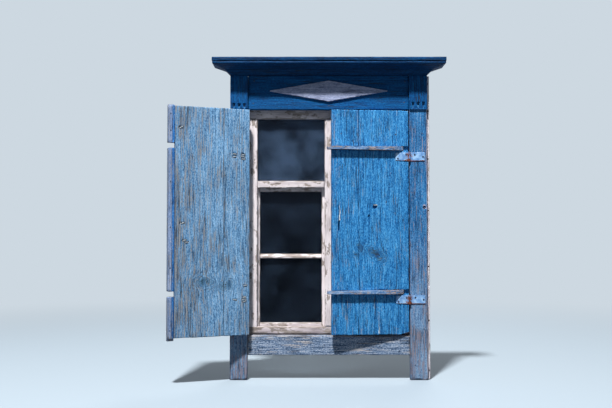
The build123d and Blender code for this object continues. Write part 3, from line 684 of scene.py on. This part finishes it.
def paintedIron(name, paint, rustPlaces=(), rustEdges=()):
    # Strap iron brushed with the shutter's paint. Water sits at the knuckle, so the
    # rust starts there and creeps out along the lower edge.
    material, add, principled = newMaterial(name, {"Specular IOR Level": 0.4})
    vector = inMillimetres(add)[1]
    fine = add("TexNoise", {"Vector": vector, "Scale": 0.35, "Detail": 4.0, "Roughness": 0.65})
    coarse = add("TexNoise", {"Vector": vector, "Scale": 0.06})
    gaps = []
    for centre in rustPlaces:
        gap = add("VectorMath", {0: vector, 1: centre / mm}, operation="DISTANCE", out="Value")
        gaps.append((gap, *rusting["knuckle"]))
    height = add("SeparateXYZ", {0: vector}, out="Z")
    for middle in rustEdges:
        # the lower edge of each plate, where water hangs
        edge = middle / mm - rusting["edgeDrop"]
        gap = add("Math", {0: height, 1: edge}, operation="SUBTRACT")
        gap = add("Math", {0: gap}, operation="ABSOLUTE")
        gaps.append((gap, *rusting["edge"]))
    near = 0.0
    for gap, far, close, most in gaps:
        share = add("MapRange", {"Value": gap, "From Min": far, "From Max": close, "To Max": most})
        near = add("Math", {0: share, 1: near}, operation="MAXIMUM")
    arris = add("Attribute", attribute_name="arrisWear", out="Fac")
    decay = weightedSum(add, (near, 1.0), (fine, 0.7), (coarse, 0.4), (arris, 0.06))
    rust = add(
        "MapRange", {"Value": decay, "From Min": 0.76, "From Max": 0.84},
        interpolation_type="SMOOTHSTEP",
    )
    coat = add("ValToRGB", {"Fac": coarse}, zip((0.35, 0.5, 0.62), paint))
    scale = add("ValToRGB", {"Fac": fine}, [(0.35, "#2a1a16"), (0.5, "#5e3022"), (0.65, "#8f5133")])
    colour = add("MixRGB", {"Fac": rust, "Color1": coat, "Color2": scale})
    pitting = weightedSum(add, (fine, 0.5), (rust, 0.3))
    bump = add("Bump", {"Height": pitting, "Distance": 0.35 * mm, "Strength": 0.7})
    rough = add("MapRange", {"Value": rust, "To Min": 0.48, "To Max": 0.9})
    linkSockets(principled, {"Base Color": colour, "Roughness": rough, "Normal": bump})
    return material


def rustyIron(name, stops):
    # Wrought nails and screws that lost their paint: matt brown oxide with darker pits.
    material, add, principled = newMaterial(name, {"Specular IOR Level": 0.3, "Roughness": 0.8})
    pits = add("TexNoise", {"Vector": inMillimetres(add)[1], "Scale": 0.7, "Detail": 3.0})
    colour = add("ValToRGB", {"Fac": pits}, stops)
    bump = add("Bump", {"Height": pits, "Distance": 0.2 * mm, "Strength": 0.7})
    linkSockets(principled, {"Base Color": colour, "Normal": bump})
    return material


def windowGlass(name, thinDust, thickDust):
    # Old drawn sheet glass, faintly tinted, with a film of dust that is thicker in
    # soft patches and dulls the look through it.
    material, add, principled = newMaterial(
        name,
        {
            "Transmission Weight": 1.0, "Roughness": 0.02, "IOR": 1.5,
            "Base Color": toLinear("#dfe9f2"), "Specular Tint": toLinear("#454b53"),
        },
    )
    cloud = add(
        "TexNoise",
        {"Vector": inMillimetres(add)[1], "Scale": 0.012, "Detail": 5.0, "Roughness": 0.6},
    )
    film = add(
        "MapRange",
        {"Value": cloud, "From Min": 0.35, "From Max": 0.7, "To Min": thinDust, "To Max": thickDust},
    )
    powder = add("BsdfDiffuse", {"Color": toLinear("#8fb0d8"), "Roughness": 1.0})
    mixed = add("MixShader", {0: film, 1: principled.outputs["BSDF"], 2: powder})
    linkSockets(material.node_tree.nodes["Material Output"], {"Surface": mixed})
    return material


materials = {name: paintedBoard(finish) for name, finish in finishes.items()}
materials["whiteUpright"] = peelingWhite("whiteOilPaintOnUprightPine", "z", kept=0.71)
materials["whiteLevel"] = peelingWhite(
    "whiteOilPaintOnLevelPine", "x", kept=0.66, whites=("#a2989a", "#c6bcbe", "#e0d8d9"),
)
materials["whiteSill"] = peelingWhite(
    "whiteOilPaintOnSill", "x", kept=0.61, whites=("#94898b", "#bdb1b3", "#dad0d1"),
)
hingeHeights = [808 * mm, 187 * mm]
rustPlaces = [
    Vector((side * pin["x"], pin["y"], height + drop * mm))
    for side in (-1, 1) for height in hingeHeights for drop in (-16, 6)
]
materials["hingeIron"] = paintedIron(
    "blueOilPaintOnStrapIron", ("#5c86b8", "#76a1d0", "#97bce0"), rustPlaces, rustEdges=hingeHeights,
)
materials["whiteIron"] = paintedIron("whiteOilPaintOnStrapIron", ("#b9b3b0", "#d3cecb", "#e4e0dd"))
materials["rustyIron"] = rustyIron(
    "rustedWroughtIron", [(0.35, "#1d1410"), (0.5, "#3d261c"), (0.65, "#5c3826")],
)
materials["clenchedIron"] = rustyIron(
    "bareNailPoint", [(0.36, "#2a2826"), (0.48, "#868f96"), (0.6, "#bcc5cc")],
)
materials["paintedScrew"] = rustyIron(
    "screwUnderWornPaint", [(0.35, "#1b1b22"), (0.5, "#343c4e"), (0.65, "#5f78a0")],
)
materials["topGlass"] = windowGlass("dustySheetGlass", 0.02, 0.13)
materials["sashGlass"] = windowGlass("sheetGlass", 0.003, 0.03)
print("materials", len(materials))


# boards: a row says which nodes, what body and finish, how finely they are cut, and how deep
# the weather has gone; the sizes are in millimetres

worldX, worldY, worldZ = Vector((1, 0, 0)), Vector((0, 1, 0)), Vector((0, 0, 1))
leftWood, rightWood = (
    {
        "body": f"{side}_shutter", "slot": f"{side}_shutter_wood",
        "level": leafAxes(side)[0], "into": leafAxes(side)[1],
    }
    for side in ("left", "right")
)
plank = {"grain": "z", "across": 2.4, "along": 6.0, "edge": 1.3}
strip = {"grain": "z", "across": 4.0, "along": 12.0, "depth": 0.6}
batten = {"finish": "batten", "grain": "x", "across": 4.0, "along": 7.0, "edge": 1.0, "depth": 0.7}
frameWood = {"body": "frame", "level": worldX, "into": worldY}
blueWood = {**frameWood, "slot": "casing_wood"}
shelteredWood = {**frameWood, "slot": "sheltered_blue_wood", "finish": "sheltered", "across": 4.0}
corniceWood = {**shelteredWood, "finish": "cornice", "grain": "x", "across": 5.0}
whiteWood = {**frameWood, "slot": "white_painted_wood", "across": 5.0}
whiteUpright = {"finish": "whiteUpright", "grain": "z"}
whiteLevel = {"finish": "whiteLevel", "grain": "x"}
boxWood = {"along": 11.0, "edge": 1.2, "depth": 0.9}
sashWood = {"along": 10.0, "edge": 0.8, "depth": 0.4}
beadWood = {"across": 6.0, "along": 12.0, "edge": 0.5, "depth": 0.2}
boardSets = [
    {
        **leftWood, **plank, "nodes": ["left_shutter_hinge_board", "left_shutter_free_board"],
        "finish": "leftLeaf", "depth": 0.8, "ragged": 2.5,
    },
    {
        **rightWood, **plank, "nodes": ["right_shutter_hinge_board", "right_shutter_free_board"],
        "finish": "rightLeaf", "depth": 0.7, "ragged": 2.0,
    },
    {
        **leftWood, **strip, "nodes": ["left_shutter_edge_strips"],
        "finish": "edgeStrip", "edge": 1.2, "ragged": 2.0,
    },
    {
        **leftWood, **strip, "nodes": ["left_shutter_cover_laths"],
        "finish": "coverLath", "edge": 1.5, "ragged": 3.0,
    },
    {**leftWood, **batten, "nodes": ["left_shutter_upper_batten", "left_shutter_lower_batten"]},
    {**rightWood, **batten, "nodes": ["right_shutter_upper_batten", "right_shutter_lower_batten"]},
    {
        **blueWood, "nodes": ["casing_board_left", "casing_board_right"], "finish": "casing",
        "grain": "z", "across": 3.5, "along": 11.0, "edge": 1.5, "depth": 0.8, "ragged": 3.0,
    },
    {
        **blueWood, "nodes": ["apron_board"], "finish": "apron",
        "grain": "x", "across": 4.0, "along": 9.0, "edge": 1.5, "depth": 0.9,
    },
    {
        **shelteredWood, "nodes": ["frieze_board"],
        "grain": "x", "along": 10.0, "edge": 1.0, "depth": 0.5,
    },
    {
        **frameWood, "nodes": ["frieze_lozenge"], "slot": "lozenge_wood", "finish": "lozenge",
        "grain": "x", "across": 4.0, "along": 9.0, "edge": 0.8, "depth": 0.5,
    },
    {
        **shelteredWood, "nodes": ["pilaster_cap_left", "pilaster_cap_right"],
        "finish": "shelteredUpright", "grain": "z", "along": 9.0, "edge": 0.8, "depth": 0.4,
    },
    {
        **corniceWood, "nodes": ["cornice_bed_mould", "cornice_crown_front", "cornice_cap_board"],
        "along": 10.0, "edge": 1.2, "depth": 0.6,
    },
    {
        **corniceWood, "nodes": ["cornice_crown_return_left", "cornice_crown_return_right"],
        "along": 8.0, "edge": 1.0, "depth": 0.5,
    },
    {
        **frameWood, "nodes": ["scribe_lath"], "slot": "lath_wood", "finish": "lath",
        "grain": "z", "across": 4.0, "along": 8.0, "edge": 1.2, "depth": 0.8, "ragged": 2.0,
    },
    {
        **whiteWood, **whiteUpright, "nodes": ["box_post_left", "box_post_right", "mullion"],
        "along": 11.0, "edge": 1.0, "depth": 0.6,
    },
    {**whiteWood, **whiteLevel, **boxWood, "nodes": ["box_sill"], "finish": "whiteSill"},
    {**whiteWood, **whiteLevel, **boxWood, "nodes": ["box_head", "transom"]},
    {**whiteWood, **whiteLevel, **beadWood, "nodes": ["top_light_beads"]},
]
for sashName in ("left_sash", "right_sash"):
    stiles = [f"{sashName}_hinge_stile", f"{sashName}_meeting_stile"]
    rails = [f"{sashName}_top_rail", f"{sashName}_bottom_rail", f"{sashName}_glazing_bar"]
    boardSets += [
        {**whiteWood, **whiteUpright, **sashWood, "body": sashName, "nodes": stiles},
        {**whiteWood, **whiteLevel, **sashWood, "body": sashName, "nodes": rails},
        {**whiteWood, **whiteLevel, **beadWood, "body": sashName, "nodes": [f"{sashName}_beads"]},
    ]
# millimetres that the grain moves from row to row and from node to node
apart = {"row": 400.0, "node": 173.0}


def raggedEnd(piece, top, amount):
    # eats unevenly into the end grain at one end of a board
    heights = numpy.array([vertex.co.z for vertex in piece.data.vertices])
    edge = heights.max() if top else heights.min()
    weights = (abs(heights - edge) < relief["endBand"]).astype(float)
    strength = (-amount if top else amount) * mm
    displace(piece, endCloud, stretches["even"], strength, "Z", weights)


def markRecess(piece):
    # 1 where the edge strip steps back, for its second paint
    foot, along, _ = leafFace("left", 0, 0)
    limit = (edgeStripRecess["far"] + 0.5) * mm
    values = [float((vertex.co - foot).dot(along) < limit) for vertex in piece.data.vertices]
    piece.data.attributes.new("recess", "FLOAT", "POINT").data.foreach_set("value", values)


def weatherBoard(row, nodeName, shift):
    piece = copyOfNode(nodeName)
    for cutter in cuttersFor(nodeName):
        cutAway(piece, cutter)
    bevelLongEdges(piece, row["edge"] * mm)
    axes = (worldZ, row["level"]) if row["grain"] == "z" else (row["level"], worldZ)
    cutAcross(piece, axes[0], row["along"] * mm)
    cutAcross(piece, axes[1], row["across"] * mm)
    cutAcross(piece, row["into"], row["across"] * relief["cutThrough"] * mm)
    wear = markArrises(piece)
    stretch = stretches[row["grain"]]
    displace(piece, waveCloud, stretch, -row["depth"] * mm)
    displace(piece, grainCloud, stretch, -row["depth"] * relief["grainShare"] * mm)
    chips = -row["edge"] * relief["chipShare"] * mm
    displace(piece, chipCloud, stretches["even"], chips, weights=wear)
    if "ragged" in row:
        for top in (True, False):
            raggedEnd(piece, top, row["ragged"])
    shifts = piece.data.attributes.new("boardShift", "FLOAT", "POINT")
    shifts.data.foreach_set("value", [shift] * len(piece.data.vertices))
    if nodeName == edgeStripRecess["node"]:
        markRecess(piece)
    finishPiece(piece, row["finish"], row["body"], smooth=32)
    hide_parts(nodeName)


# splits, holes and chips: where they are, in millimetres along each leaf and up

leafSplits = {
    "right_shutter_free_board": [
        {"along": 223.5, "foot": 30, "top": 118, "width": 3.2, "depth": 20},
        {"along": 308, "foot": 486, "top": 600, "width": 7.0, "depth": 14},
    ],
    "right_shutter_hinge_board": [
        {"along": 135, "foot": 30, "top": 84, "width": 2.6, "depth": 14},
    ],
    "left_shutter_free_board": [
        {"along": 302, "foot": 205, "top": 300, "width": 2.4, "depth": 10},
        {"along": 262, "foot": 30, "top": 130, "width": 2.2, "depth": 12},
    ],
    "left_shutter_hinge_board": [
        {"along": 112, "foot": 455, "top": 720, "width": 2.2, "depth": 10},
    ],
}
leafHoles = {
    "right_shutter_hinge_board": [
        {"along": 151, "height": 590, "radius": 8.5, "depth": 13},
        {"along": 178, "height": 550, "radius": 5.0, "depth": 9},
    ],
}
casingHoles = {"casing_board_right": [{"x": 417, "height": 588, "radius": 6.5, "depth": 12}]}
nailTips = {
    "left_shutter_free_board": [(305, 918), (298, 516), (289, 444), (280, 436)],
    "left_shutter_hinge_board": [
        (70, 814), (71, 802), (32, 812), (33, 803), (31, 793),
        (67, 190), (26, 200), (27, 191), (25, 182), (21, 250),
    ],
}
tipGroove = {"length": 21, "height": 8, "twiceDepth": 5.2, "round": 1.5, "rise": 1}
hingeCornerChip = {
    "node": "right_shutter_hinge_board", "reach": 38, "rise": 13, "curve": 0.8, "cuts": 6,
    "beside": 3, "below": 10, "through": 60, "middle": 18, "waves": [(14, 0, 1.2), (31, 5, 0.7)],
}
edgeStripRecess = {
    "node": "left_shutter_edge_strips", "near": 327, "far": 341.5, "depth": 3,
    "middle": 500, "tall": 2000,
}
sillCrack = {"node": "box_sill", "size": (702, 14, 4), "height": 34}
leafFoot = 36
# how far each board's face stands forward of y 0
faceDepths = {"casing": 32, "apron": 26, "frieze": 28, "lath": 15}


def placing(point, acrossAxis, outAxis):
    # a matrix that puts a pattern's X across the grain and its Z out of the face
    upAxis = outAxis.cross(acrossAxis)
    columns = [(*axis, 0) for axis in (acrossAxis, upAxis, outAxis)]
    return Matrix((*columns, (*point, 1))).transposed()


def onCasing(x, height, board, sunk=0.5):
    point = Vector((x, -faceDepths[board], height)) * mm + worldY * sunk * mm
    return placing(point, worldX, -worldY)


def addCube(size=(1, 1, 1)):
    bpy.ops.object.select_all(action="DESELECT")
    bpy.ops.mesh.primitive_cube_add(size=1, scale=size)
    bpy.ops.object.transform_apply(location=False, rotation=False, scale=True)
    return bpy.context.object


def addCylinder(radius, depth, sides):
    bpy.ops.object.select_all(action="DESELECT")
    bpy.ops.mesh.primitive_cylinder_add(vertices=sides, radius=radius, depth=depth)
    return bpy.context.object


def boreCutter(hole, place):
    cutter = addCylinder(hole["radius"] * mm, 2 * hole["depth"] * mm, sides=18)
    cutter.data.transform(place)
    return cutter


def grooveCutter(along, height):
    # the dent that a hammer leaves round a clenched nail
    cutter = addCube([tipGroove[key] * mm for key in ("length", "height", "twiceDepth")])
    bevelLongEdges(cutter, tipGroove["round"] * mm, shortest=2 * mm)
    cutter.data.transform(placing(*leafFace("left", along, height + tipGroove["rise"])))
    return cutter


def chipCutter():
    # takes the broken corner off below the lower hinge, along an uneven line
    cutter = addCube()
    with editing(cutter):
        bpy.ops.mesh.subdivide(number_cuts=hingeCornerChip["cuts"])
    beside, below, waves = (hingeCornerChip[key] for key in ("beside", "below", "waves"))
    for vertex in cutter.data.vertices:
        share = vertex.co.x + 0.5
        uneven = waver(share, [(pace, turn * vertex.co.y, size) for pace, turn, size in waves])
        top = leafFoot + hingeCornerChip["rise"] * (1 - share) ** hingeCornerChip["curve"] + uneven
        height = leafFoot - below + (top - leafFoot + below) * (vertex.co.z + 0.5)
        along = share * (hingeCornerChip["reach"] + beside) - beside
        into = vertex.co.y * hingeCornerChip["through"] + hingeCornerChip["middle"]
        vertex.co = leafPoint("right", along * mm, into * mm, height * mm)
    with editing(cutter):
        bpy.ops.mesh.normals_make_consistent(inside=False)
    return cutter


def recessCutter():
    # the step of the edge strip beside the free board
    near, far = edgeStripRecess["near"], edgeStripRecess["far"]
    tall, deep = edgeStripRecess["tall"], edgeStripRecess["depth"]
    cutter = addCube(((far - near) * mm, tall * mm, 2 * deep * mm))
    cutter.data.transform(placing(*leafFace("left", (near + far) / 2, edgeStripRecess["middle"])))
    return cutter


def crackCutter():
    # the open joint between the sill and the apron's top
    cutter = addCube([size * mm for size in sillCrack["size"]])
    cutter.data.transform(Matrix.Translation((0, 0, sillCrack["height"] * mm)))
    return cutter


def cuttersFor(nodeName):
    cutters = [crackCutter()] if nodeName == sillCrack["node"] else []
    side = nodeName.split("_")[0]
    for split in leafSplits.get(nodeName, ()):
        cutters.append(splitCutter(side, split))
    for hole in leafHoles.get(nodeName, ()):
        cutters.append(boreCutter(hole, placing(*leafFace(side, hole["along"], hole["height"]))))
    for hole in casingHoles.get(nodeName, ()):
        place = onCasing(hole["x"], hole["height"], "casing", sunk=0)
        cutters.append(boreCutter(hole, place))
    for along, height in nailTips.get(nodeName, ()):
        cutters.append(grooveCutter(along, height))
    if nodeName == hingeCornerChip["node"]:
        cutters.append(chipCutter())
    if nodeName == edgeStripRecess["node"]:
        cutters.append(recessCutter())
    return cutters


for rowIndex, row in enumerate(boardSets):
    for nodeIndex, nodeName in enumerate(row["nodes"]):
        weatherBoard(row, nodeName, apart["row"] * rowIndex + apart["node"] * nodeIndex)
print("boards", sum(len(row["nodes"]) for row in boardSets))


# glass: old panes are never flat

panes = {"cut": 14, "waveSize": 90, "waveDepth": 0.35}
paneWaves = cloudTexture("drawnGlass", panes["waveSize"] * mm, 1.0, 1)


def wavyPanes(nodeName, body, material):
    piece = copyOfNode(nodeName)
    cutAcross(piece, worldX, panes["cut"] * mm)
    cutAcross(piece, worldZ, panes["cut"] * mm)
    displace(piece, paneWaves, stretches["even"], -panes["waveDepth"] * mm)
    finishPiece(piece, material, body, smooth=32)
    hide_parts(nodeName)


wavyPanes("top_light_panes", "frame", "topGlass")
wavyPanes("left_sash_panes", "left_sash", "sashGlass")
wavyPanes("right_sash_panes", "right_sash", "sashGlass")
print("glass")


# iron

ironwork = {
    "plateEdge": 0.5, "dents": 0.35, "plateCut": 5, "headEdge": 0.35, "slot": (9, 1.0, 1.8),
}
luck = random.Random(11)


def ironPlates(nodeName, material, body):
    # hinge plates with rubbed edges and the dents of a hammer
    piece = copyOfNode(nodeName)
    bevelLongEdges(piece, ironwork["plateEdge"] * mm, shortest=8 * mm)
    cutAcross(piece, worldX, ironwork["plateCut"] * mm)
    cutAcross(piece, worldZ, ironwork["plateCut"] * mm)
    markArrises(piece)
    displace(piece, chipCloud, stretches["even"], -ironwork["dents"] * mm)
    finishPiece(piece, material, body)
    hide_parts(nodeName)


def slottedScrews(nodeName, outward, material, body):
    # the CAD's screws, with rubbed heads and a slot cut in each
    whole = copyOfNode(nodeName)
    with editing(whole):
        bpy.ops.mesh.separate(type="LOOSE")
    acrossAxis = outward.cross(worldZ)
    screws = list(bpy.context.selected_objects)
    for screw in screws:
        corners = [vertex.co.copy() for vertex in screw.data.vertices]
        middle = sum(corners, Vector()) / len(corners)
        headFace = max(corner.dot(outward) for corner in corners)
        headPoint = middle + outward * (headFace - middle.dot(outward))
        bevelLongEdges(screw, ironwork["headEdge"] * mm, shortest=0.3 * mm)
        slotCutter = addCube([size * mm for size in ironwork["slot"]])
        turn = Matrix.Rotation(luck.uniform(0, math.pi), 4, "Z")
        slotCutter.data.transform(placing(headPoint, acrossAxis, outward) @ turn)
        cutAway(screw, slotCutter)
    pick(*screws)
    bpy.ops.object.join()
    piece = bpy.context.object
    piece.name = makerName(nodeName)
    finishPiece(piece, material, body)
    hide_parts(nodeName)


for side in ("left", "right"):
    shutter = f"{side}_shutter"
    ironPlates(f"{shutter}_hinge_leaves", "hingeIron", shutter)
    ironPlates(f"casing_hinge_leaves_{side}", "hingeIron", "frame")
    ironPlates(f"{side}_sash_hinge_leaves", "whiteIron", f"{side}_sash")
    slottedScrews(f"{shutter}_screws", -leafAxes(side)[1], "paintedScrew", shutter)
ironPlates("sash_hinge_frame_leaves", "whiteIron", "frame")
slottedScrews("casing_hinge_screws", -worldY, "paintedScrew", "frame")
slottedScrews("turn_button_screw", worldY, "rustyIron", "frame")
print("iron")


# nails: one pattern each, with Z out of the wood, copied to its places

nails = {
    "headRadius": 2.8, "headRise": 0.7, "headRings": [(0.8, 0.35), (0.7, 0.12)], "shank": 4,
    "clenchLength": 18, "clenchRadius": 2.4, "clenchEdge": 0.5, "clenchCut": 2,
    "slim": 0.45, "sway": 0.8, "swayPace": 2.2, "droop": 1.6, "lift": 0.4,
    "endFace": 0.9, "turn": 0.35,
}
sliverPlaces = [
    {"along": 306, "foot": 530, "top": 600, "width": 5.0, "depth": 1.1},
    {"along": 135, "foot": 42, "top": 82, "width": 3.4, "depth": 1.1},
]


def nailHead():
    # a flat wrought head, hammered just proud of the wood
    head = addCylinder(nails["headRadius"] * mm, nails["shank"] * mm, sides=14)
    with editing(head):
        bpy.ops.transform.translate(value=(0, 0, (nails["headRise"] - nails["shank"] / 2) * mm))
        bpy.ops.mesh.select_all(action="DESELECT")
    for face in head.data.polygons:
        face.select = face.normal.z > nails["endFace"]
    with editing(head, whole=False):
        bpy.ops.mesh.select_mode(type="FACE")
        for inset, rise in nails["headRings"]:
            bpy.ops.mesh.inset(thickness=inset * mm, depth=rise * mm)
    return head


def clenchedTip():
    # the point of a nail driven through and hammered over, half sunk in the wood
    rod = addCylinder(nails["clenchRadius"] * mm, nails["clenchLength"] * mm, sides=10)
    rod.data.transform(Matrix.Rotation(math.pi / 2, 4, "Y"))
    for face in rod.data.polygons:
        face.select = abs(face.normal.x) > nails["endFace"]
    with editing(rod, whole=False):
        bpy.ops.mesh.select_mode(type="FACE")
        bpy.ops.mesh.bevel(offset=nails["clenchEdge"] * mm, segments=2, affect="EDGES")
    cutAcross(rod, worldX, nails["clenchCut"] * mm)
    half = nails["clenchLength"] / 2 * mm
    for vertex in rod.data.vertices:
        share = vertex.co.x / half
        slim = 1 - nails["slim"] * max(share, 0)
        sway = nails["sway"] * math.sin(share * nails["swayPace"])
        vertex.co.y = vertex.co.y * slim + sway * mm
        vertex.co.z = vertex.co.z * slim + (nails["lift"] - nails["droop"] * share ** 2) * mm
    return rod


def copies(pattern, name, places, material, body):
    made = []
    for matrix in places:
        copy = bpy.data.objects.new(name, pattern.data.copy())
        copy.data.transform(matrix)
        scene.collection.objects.link(copy)
        made.append(copy)
    pick(*made)
    bpy.ops.object.join()
    bpy.context.object.name = name
    finishPiece(bpy.context.object, material, body)


def onLeaf(side, along, height, sunk=0.6):
    turn = Matrix.Rotation(luck.uniform(-nails["turn"], nails["turn"]), 4, "Z")
    return placing(*leafFace(side, along, height, -sunk)) @ turn


headPattern = nailHead()
tipPattern = clenchedTip()
leftTips = [onLeaf("left", *place, sunk=0.9) for places in nailTips.values() for place in places]
copies(tipPattern, "leftShutterNailTips", leftTips, "clenchedIron", "left_shutter")
stripHeads = [onLeaf("left", 349, height, sunk=0.4) for height in (70, 330, 500, 690, 905, 975)]
copies(headPattern, "leftShutterStripNails", stripHeads, "paintedScrew", "left_shutter")
rightNails = [(101, 610), (60, 905), (300, 905), (315, 120), (52, 62)]
rightHeads = [onLeaf("right", *place) for place in rightNails]
copies(headPattern, "rightShutterNails", rightHeads, "paintedScrew", "right_shutter")
oldNail = [onLeaf("right", 149, 596, sunk=1.2)]
copies(tipPattern, "rightShutterOldNail", oldNail, "clenchedIron", "right_shutter")
casingNails = [
    (417, 584), (372, 930), (408, 910), (384, 402), (412, 60), (374, -96),
    (-402, 700), (-374, 920), (-410, 40), (-376, -100), (-388, 330),
]
casingHeads = [onCasing(*place, "casing") for place in casingNails]
copies(headPattern, "casingNails", casingHeads, "paintedScrew", "frame")
apronNails = [(-310, 4), (-306, -32), (-20, -8), (312, 10), (306, -36)]
friezeNails = [(-330, 1042), (-326, 1140), (330, 1046), (334, 1138), (0, 1032)]
friezeHeads = [onCasing(*place, "apron") for place in apronNails]
friezeHeads += [onCasing(*place, "frieze") for place in friezeNails]
copies(headPattern, "apronAndFriezeNails", friezeHeads, "paintedScrew", "frame")
lathHeads = [onCasing(436, height, "lath") for height in (-120, 96, 330, 575, 800, 1010, 1130)]
copies(headPattern, "lathNails", lathHeads, "rustyIron", "frame")
for pattern in (headPattern, tipPattern):
    bpy.data.objects.remove(pattern)

# pale slivers of fresh wood that stand in the splits
slivers = [splitCutter("right", sliver, proud=-0.5) for sliver in sliverPlaces]
pick(*slivers)
bpy.ops.object.join()
bpy.context.object.name = "rightShutterSlivers"
finishPiece(bpy.context.object, "paleSliver", "right_shutter")
print("nails")


def dress(nodeName, material):
    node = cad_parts[nodeName]
    node.data.materials.clear()
    node.data.materials.append(materials[material])


dress("shutter_hinge_pins", "rustyIron")
dress("turn_button", "whiteUpright")

for helper in stretches.values():
    bpy.data.objects.remove(helper)


# studio

studio = {
    "floorHeight": cadLow.z - 0.5 * mm, "floorSize": 60, "floorNear": 1.6, "floorFar": 5.0,
    "backdrop": "#cdd8e1", "floorColour": "#9ba8b2", "floorBounce": "#5b646c",
    "fill": "#e6ebf2", "fillStrength": 0.18,
    "keyPlace": (-1.2, -4.3, 8.2), "keyAim": (0, 0, 0.5), "keySize": 0.7, "keyPower": 1640,
    "backPlace": (1.5, 5.5, 3.5), "backSize": 3.0, "backPower": 130,
}


def pointAt(thing, target):
    thing.rotation_mode = "QUATERNION"
    away = Vector(target) - thing.location
    thing.rotation_quaternion = away.to_track_quat("-Z", "Y")


def seenRays(add):
    # 1 for rays that show the background: to the camera, in mirrors and through glass
    rays = add("LightPath", out=None)
    seen = rays.outputs["Is Camera Ray"]
    for name in ("Is Transmission Ray", "Is Glossy Ray"):
        seen = add("Math", {0: seen, 1: rays.outputs[name]}, operation="MAXIMUM")
    return seen


bpy.ops.object.select_all(action="DESELECT")
floorPoint = (0, 0, studio["floorHeight"])
bpy.ops.mesh.primitive_plane_add(size=studio["floorSize"], location=floorPoint)
floor = bpy.context.object
floor.name = "studioFloor"
floorMaterial, addToFloor, floorSurface = newMaterial("paleStudioFloor", {"Roughness": 0.9})
# it is seen pale, but throws little light back into the shadows
floorTone = addToFloor(
    "MixRGB",
    {
        "Fac": seenRays(addToFloor), "Color1": toLinear(studio["floorBounce"]),
        "Color2": toLinear(studio["floorColour"]),
    },
)
linkSockets(floorSurface, {"Base Color": floorTone})
# far from the window the floor turns into the backdrop
floorPlace = addToFloor("TexCoord", out="Object")
floorGap = addToFloor("VectorMath", {0: floorPlace}, operation="LENGTH", out="Value")
floorShare = addToFloor(
    "MapRange", {"Value": floorGap, "From Min": studio["floorNear"], "From Max": studio["floorFar"]},
    interpolation_type="SMOOTHSTEP",
)
floorShare = addToFloor("Math", {0: floorShare, 1: seenRays(addToFloor)}, operation="MULTIPLY")
farFloor = addToFloor("Emission", {"Color": toLinear(studio["backdrop"]), "Strength": 1.0})
floorMix = addToFloor("MixShader", {0: floorShare, 1: floorSurface.outputs[0], 2: farFloor})
linkSockets(floorMaterial.node_tree.nodes["Material Output"], {"Surface": floorMix})
floor.data.materials.append(floorMaterial)

# a dark sheet behind the sashes, painted shade in place of an unlit room, so that panes look deep; only
# light through glass meets it
roomShadeSheet = {"low": (-4, 0.45, -0.16), "high": (4, 0.46, 4), "colour": "#090b10"}
roomLow, roomHigh = Vector(roomShadeSheet["low"]), Vector(roomShadeSheet["high"])
bpy.ops.object.select_all(action="DESELECT")
bpy.ops.mesh.primitive_cube_add(size=1, location=(roomLow + roomHigh) / 2, scale=roomHigh - roomLow)
room = bpy.context.object
room.name = "roomShadeSheet"
paintedShadeSurface = {"Base Color": toLinear(roomShadeSheet["colour"]), "Roughness": 1.0, "Specular IOR Level": 0.0}
room.data.materials.append(newMaterial("paintedRoomShade", paintedShadeSurface)[0])
for ray in ("camera", "diffuse", "glossy", "shadow"):
    setattr(room, f"visible_{ray}", False)


def addLamp(name, place, size, power):
    lampData = bpy.data.lights.new(name, "AREA")
    lampData.shape = "DISK"
    lampData.size = size
    lampData.energy = power
    lamp = bpy.data.objects.new(name, lampData)
    lamp.location = place
    pointAt(lamp, studio["keyAim"])
    scene.collection.objects.link(lamp)


addLamp("keyLight", studio["keyPlace"], studio["keySize"], studio["keyPower"])
# a weak, wide lamp for the back
addLamp("backLight", studio["backPlace"], studio["backSize"], studio["backPower"])

world = bpy.data.worlds.new("studioWorld")
world.use_nodes = True
scene.world = world
world.node_tree.nodes.clear()
addToSky = partial(addNode, world.node_tree)
fill = addToSky("Background", {"Color": toLinear(studio["fill"]), "Strength": studio["fillStrength"]})
backdrop = addToSky("Background", {"Color": toLinear(studio["backdrop"]), "Strength": 1.0})
sky = addToSky("MixShader", {0: seenRays(addToSky), 1: fill, 2: backdrop})
addToSky("OutputWorld", {"Surface": sky}, out=None)

# the camera stands at mid height, a little left of the middle, as in the photo
view = {"place": (-0.099, -3.73, 0.466), "tilt": 92.1, "lens": 50, "sensor": 36}
cameraData = bpy.data.cameras.new("camera")
cameraData.lens = view["lens"]
cameraData.sensor_width = view["sensor"]
camera = bpy.data.objects.new("camera", cameraData)
camera.location = view["place"]
camera.rotation_euler = (math.radians(view["tilt"]), 0, 0)
scene.collection.objects.link(camera)
scene.camera = camera
scene.view_settings.view_transform = "Standard"
print("studio")
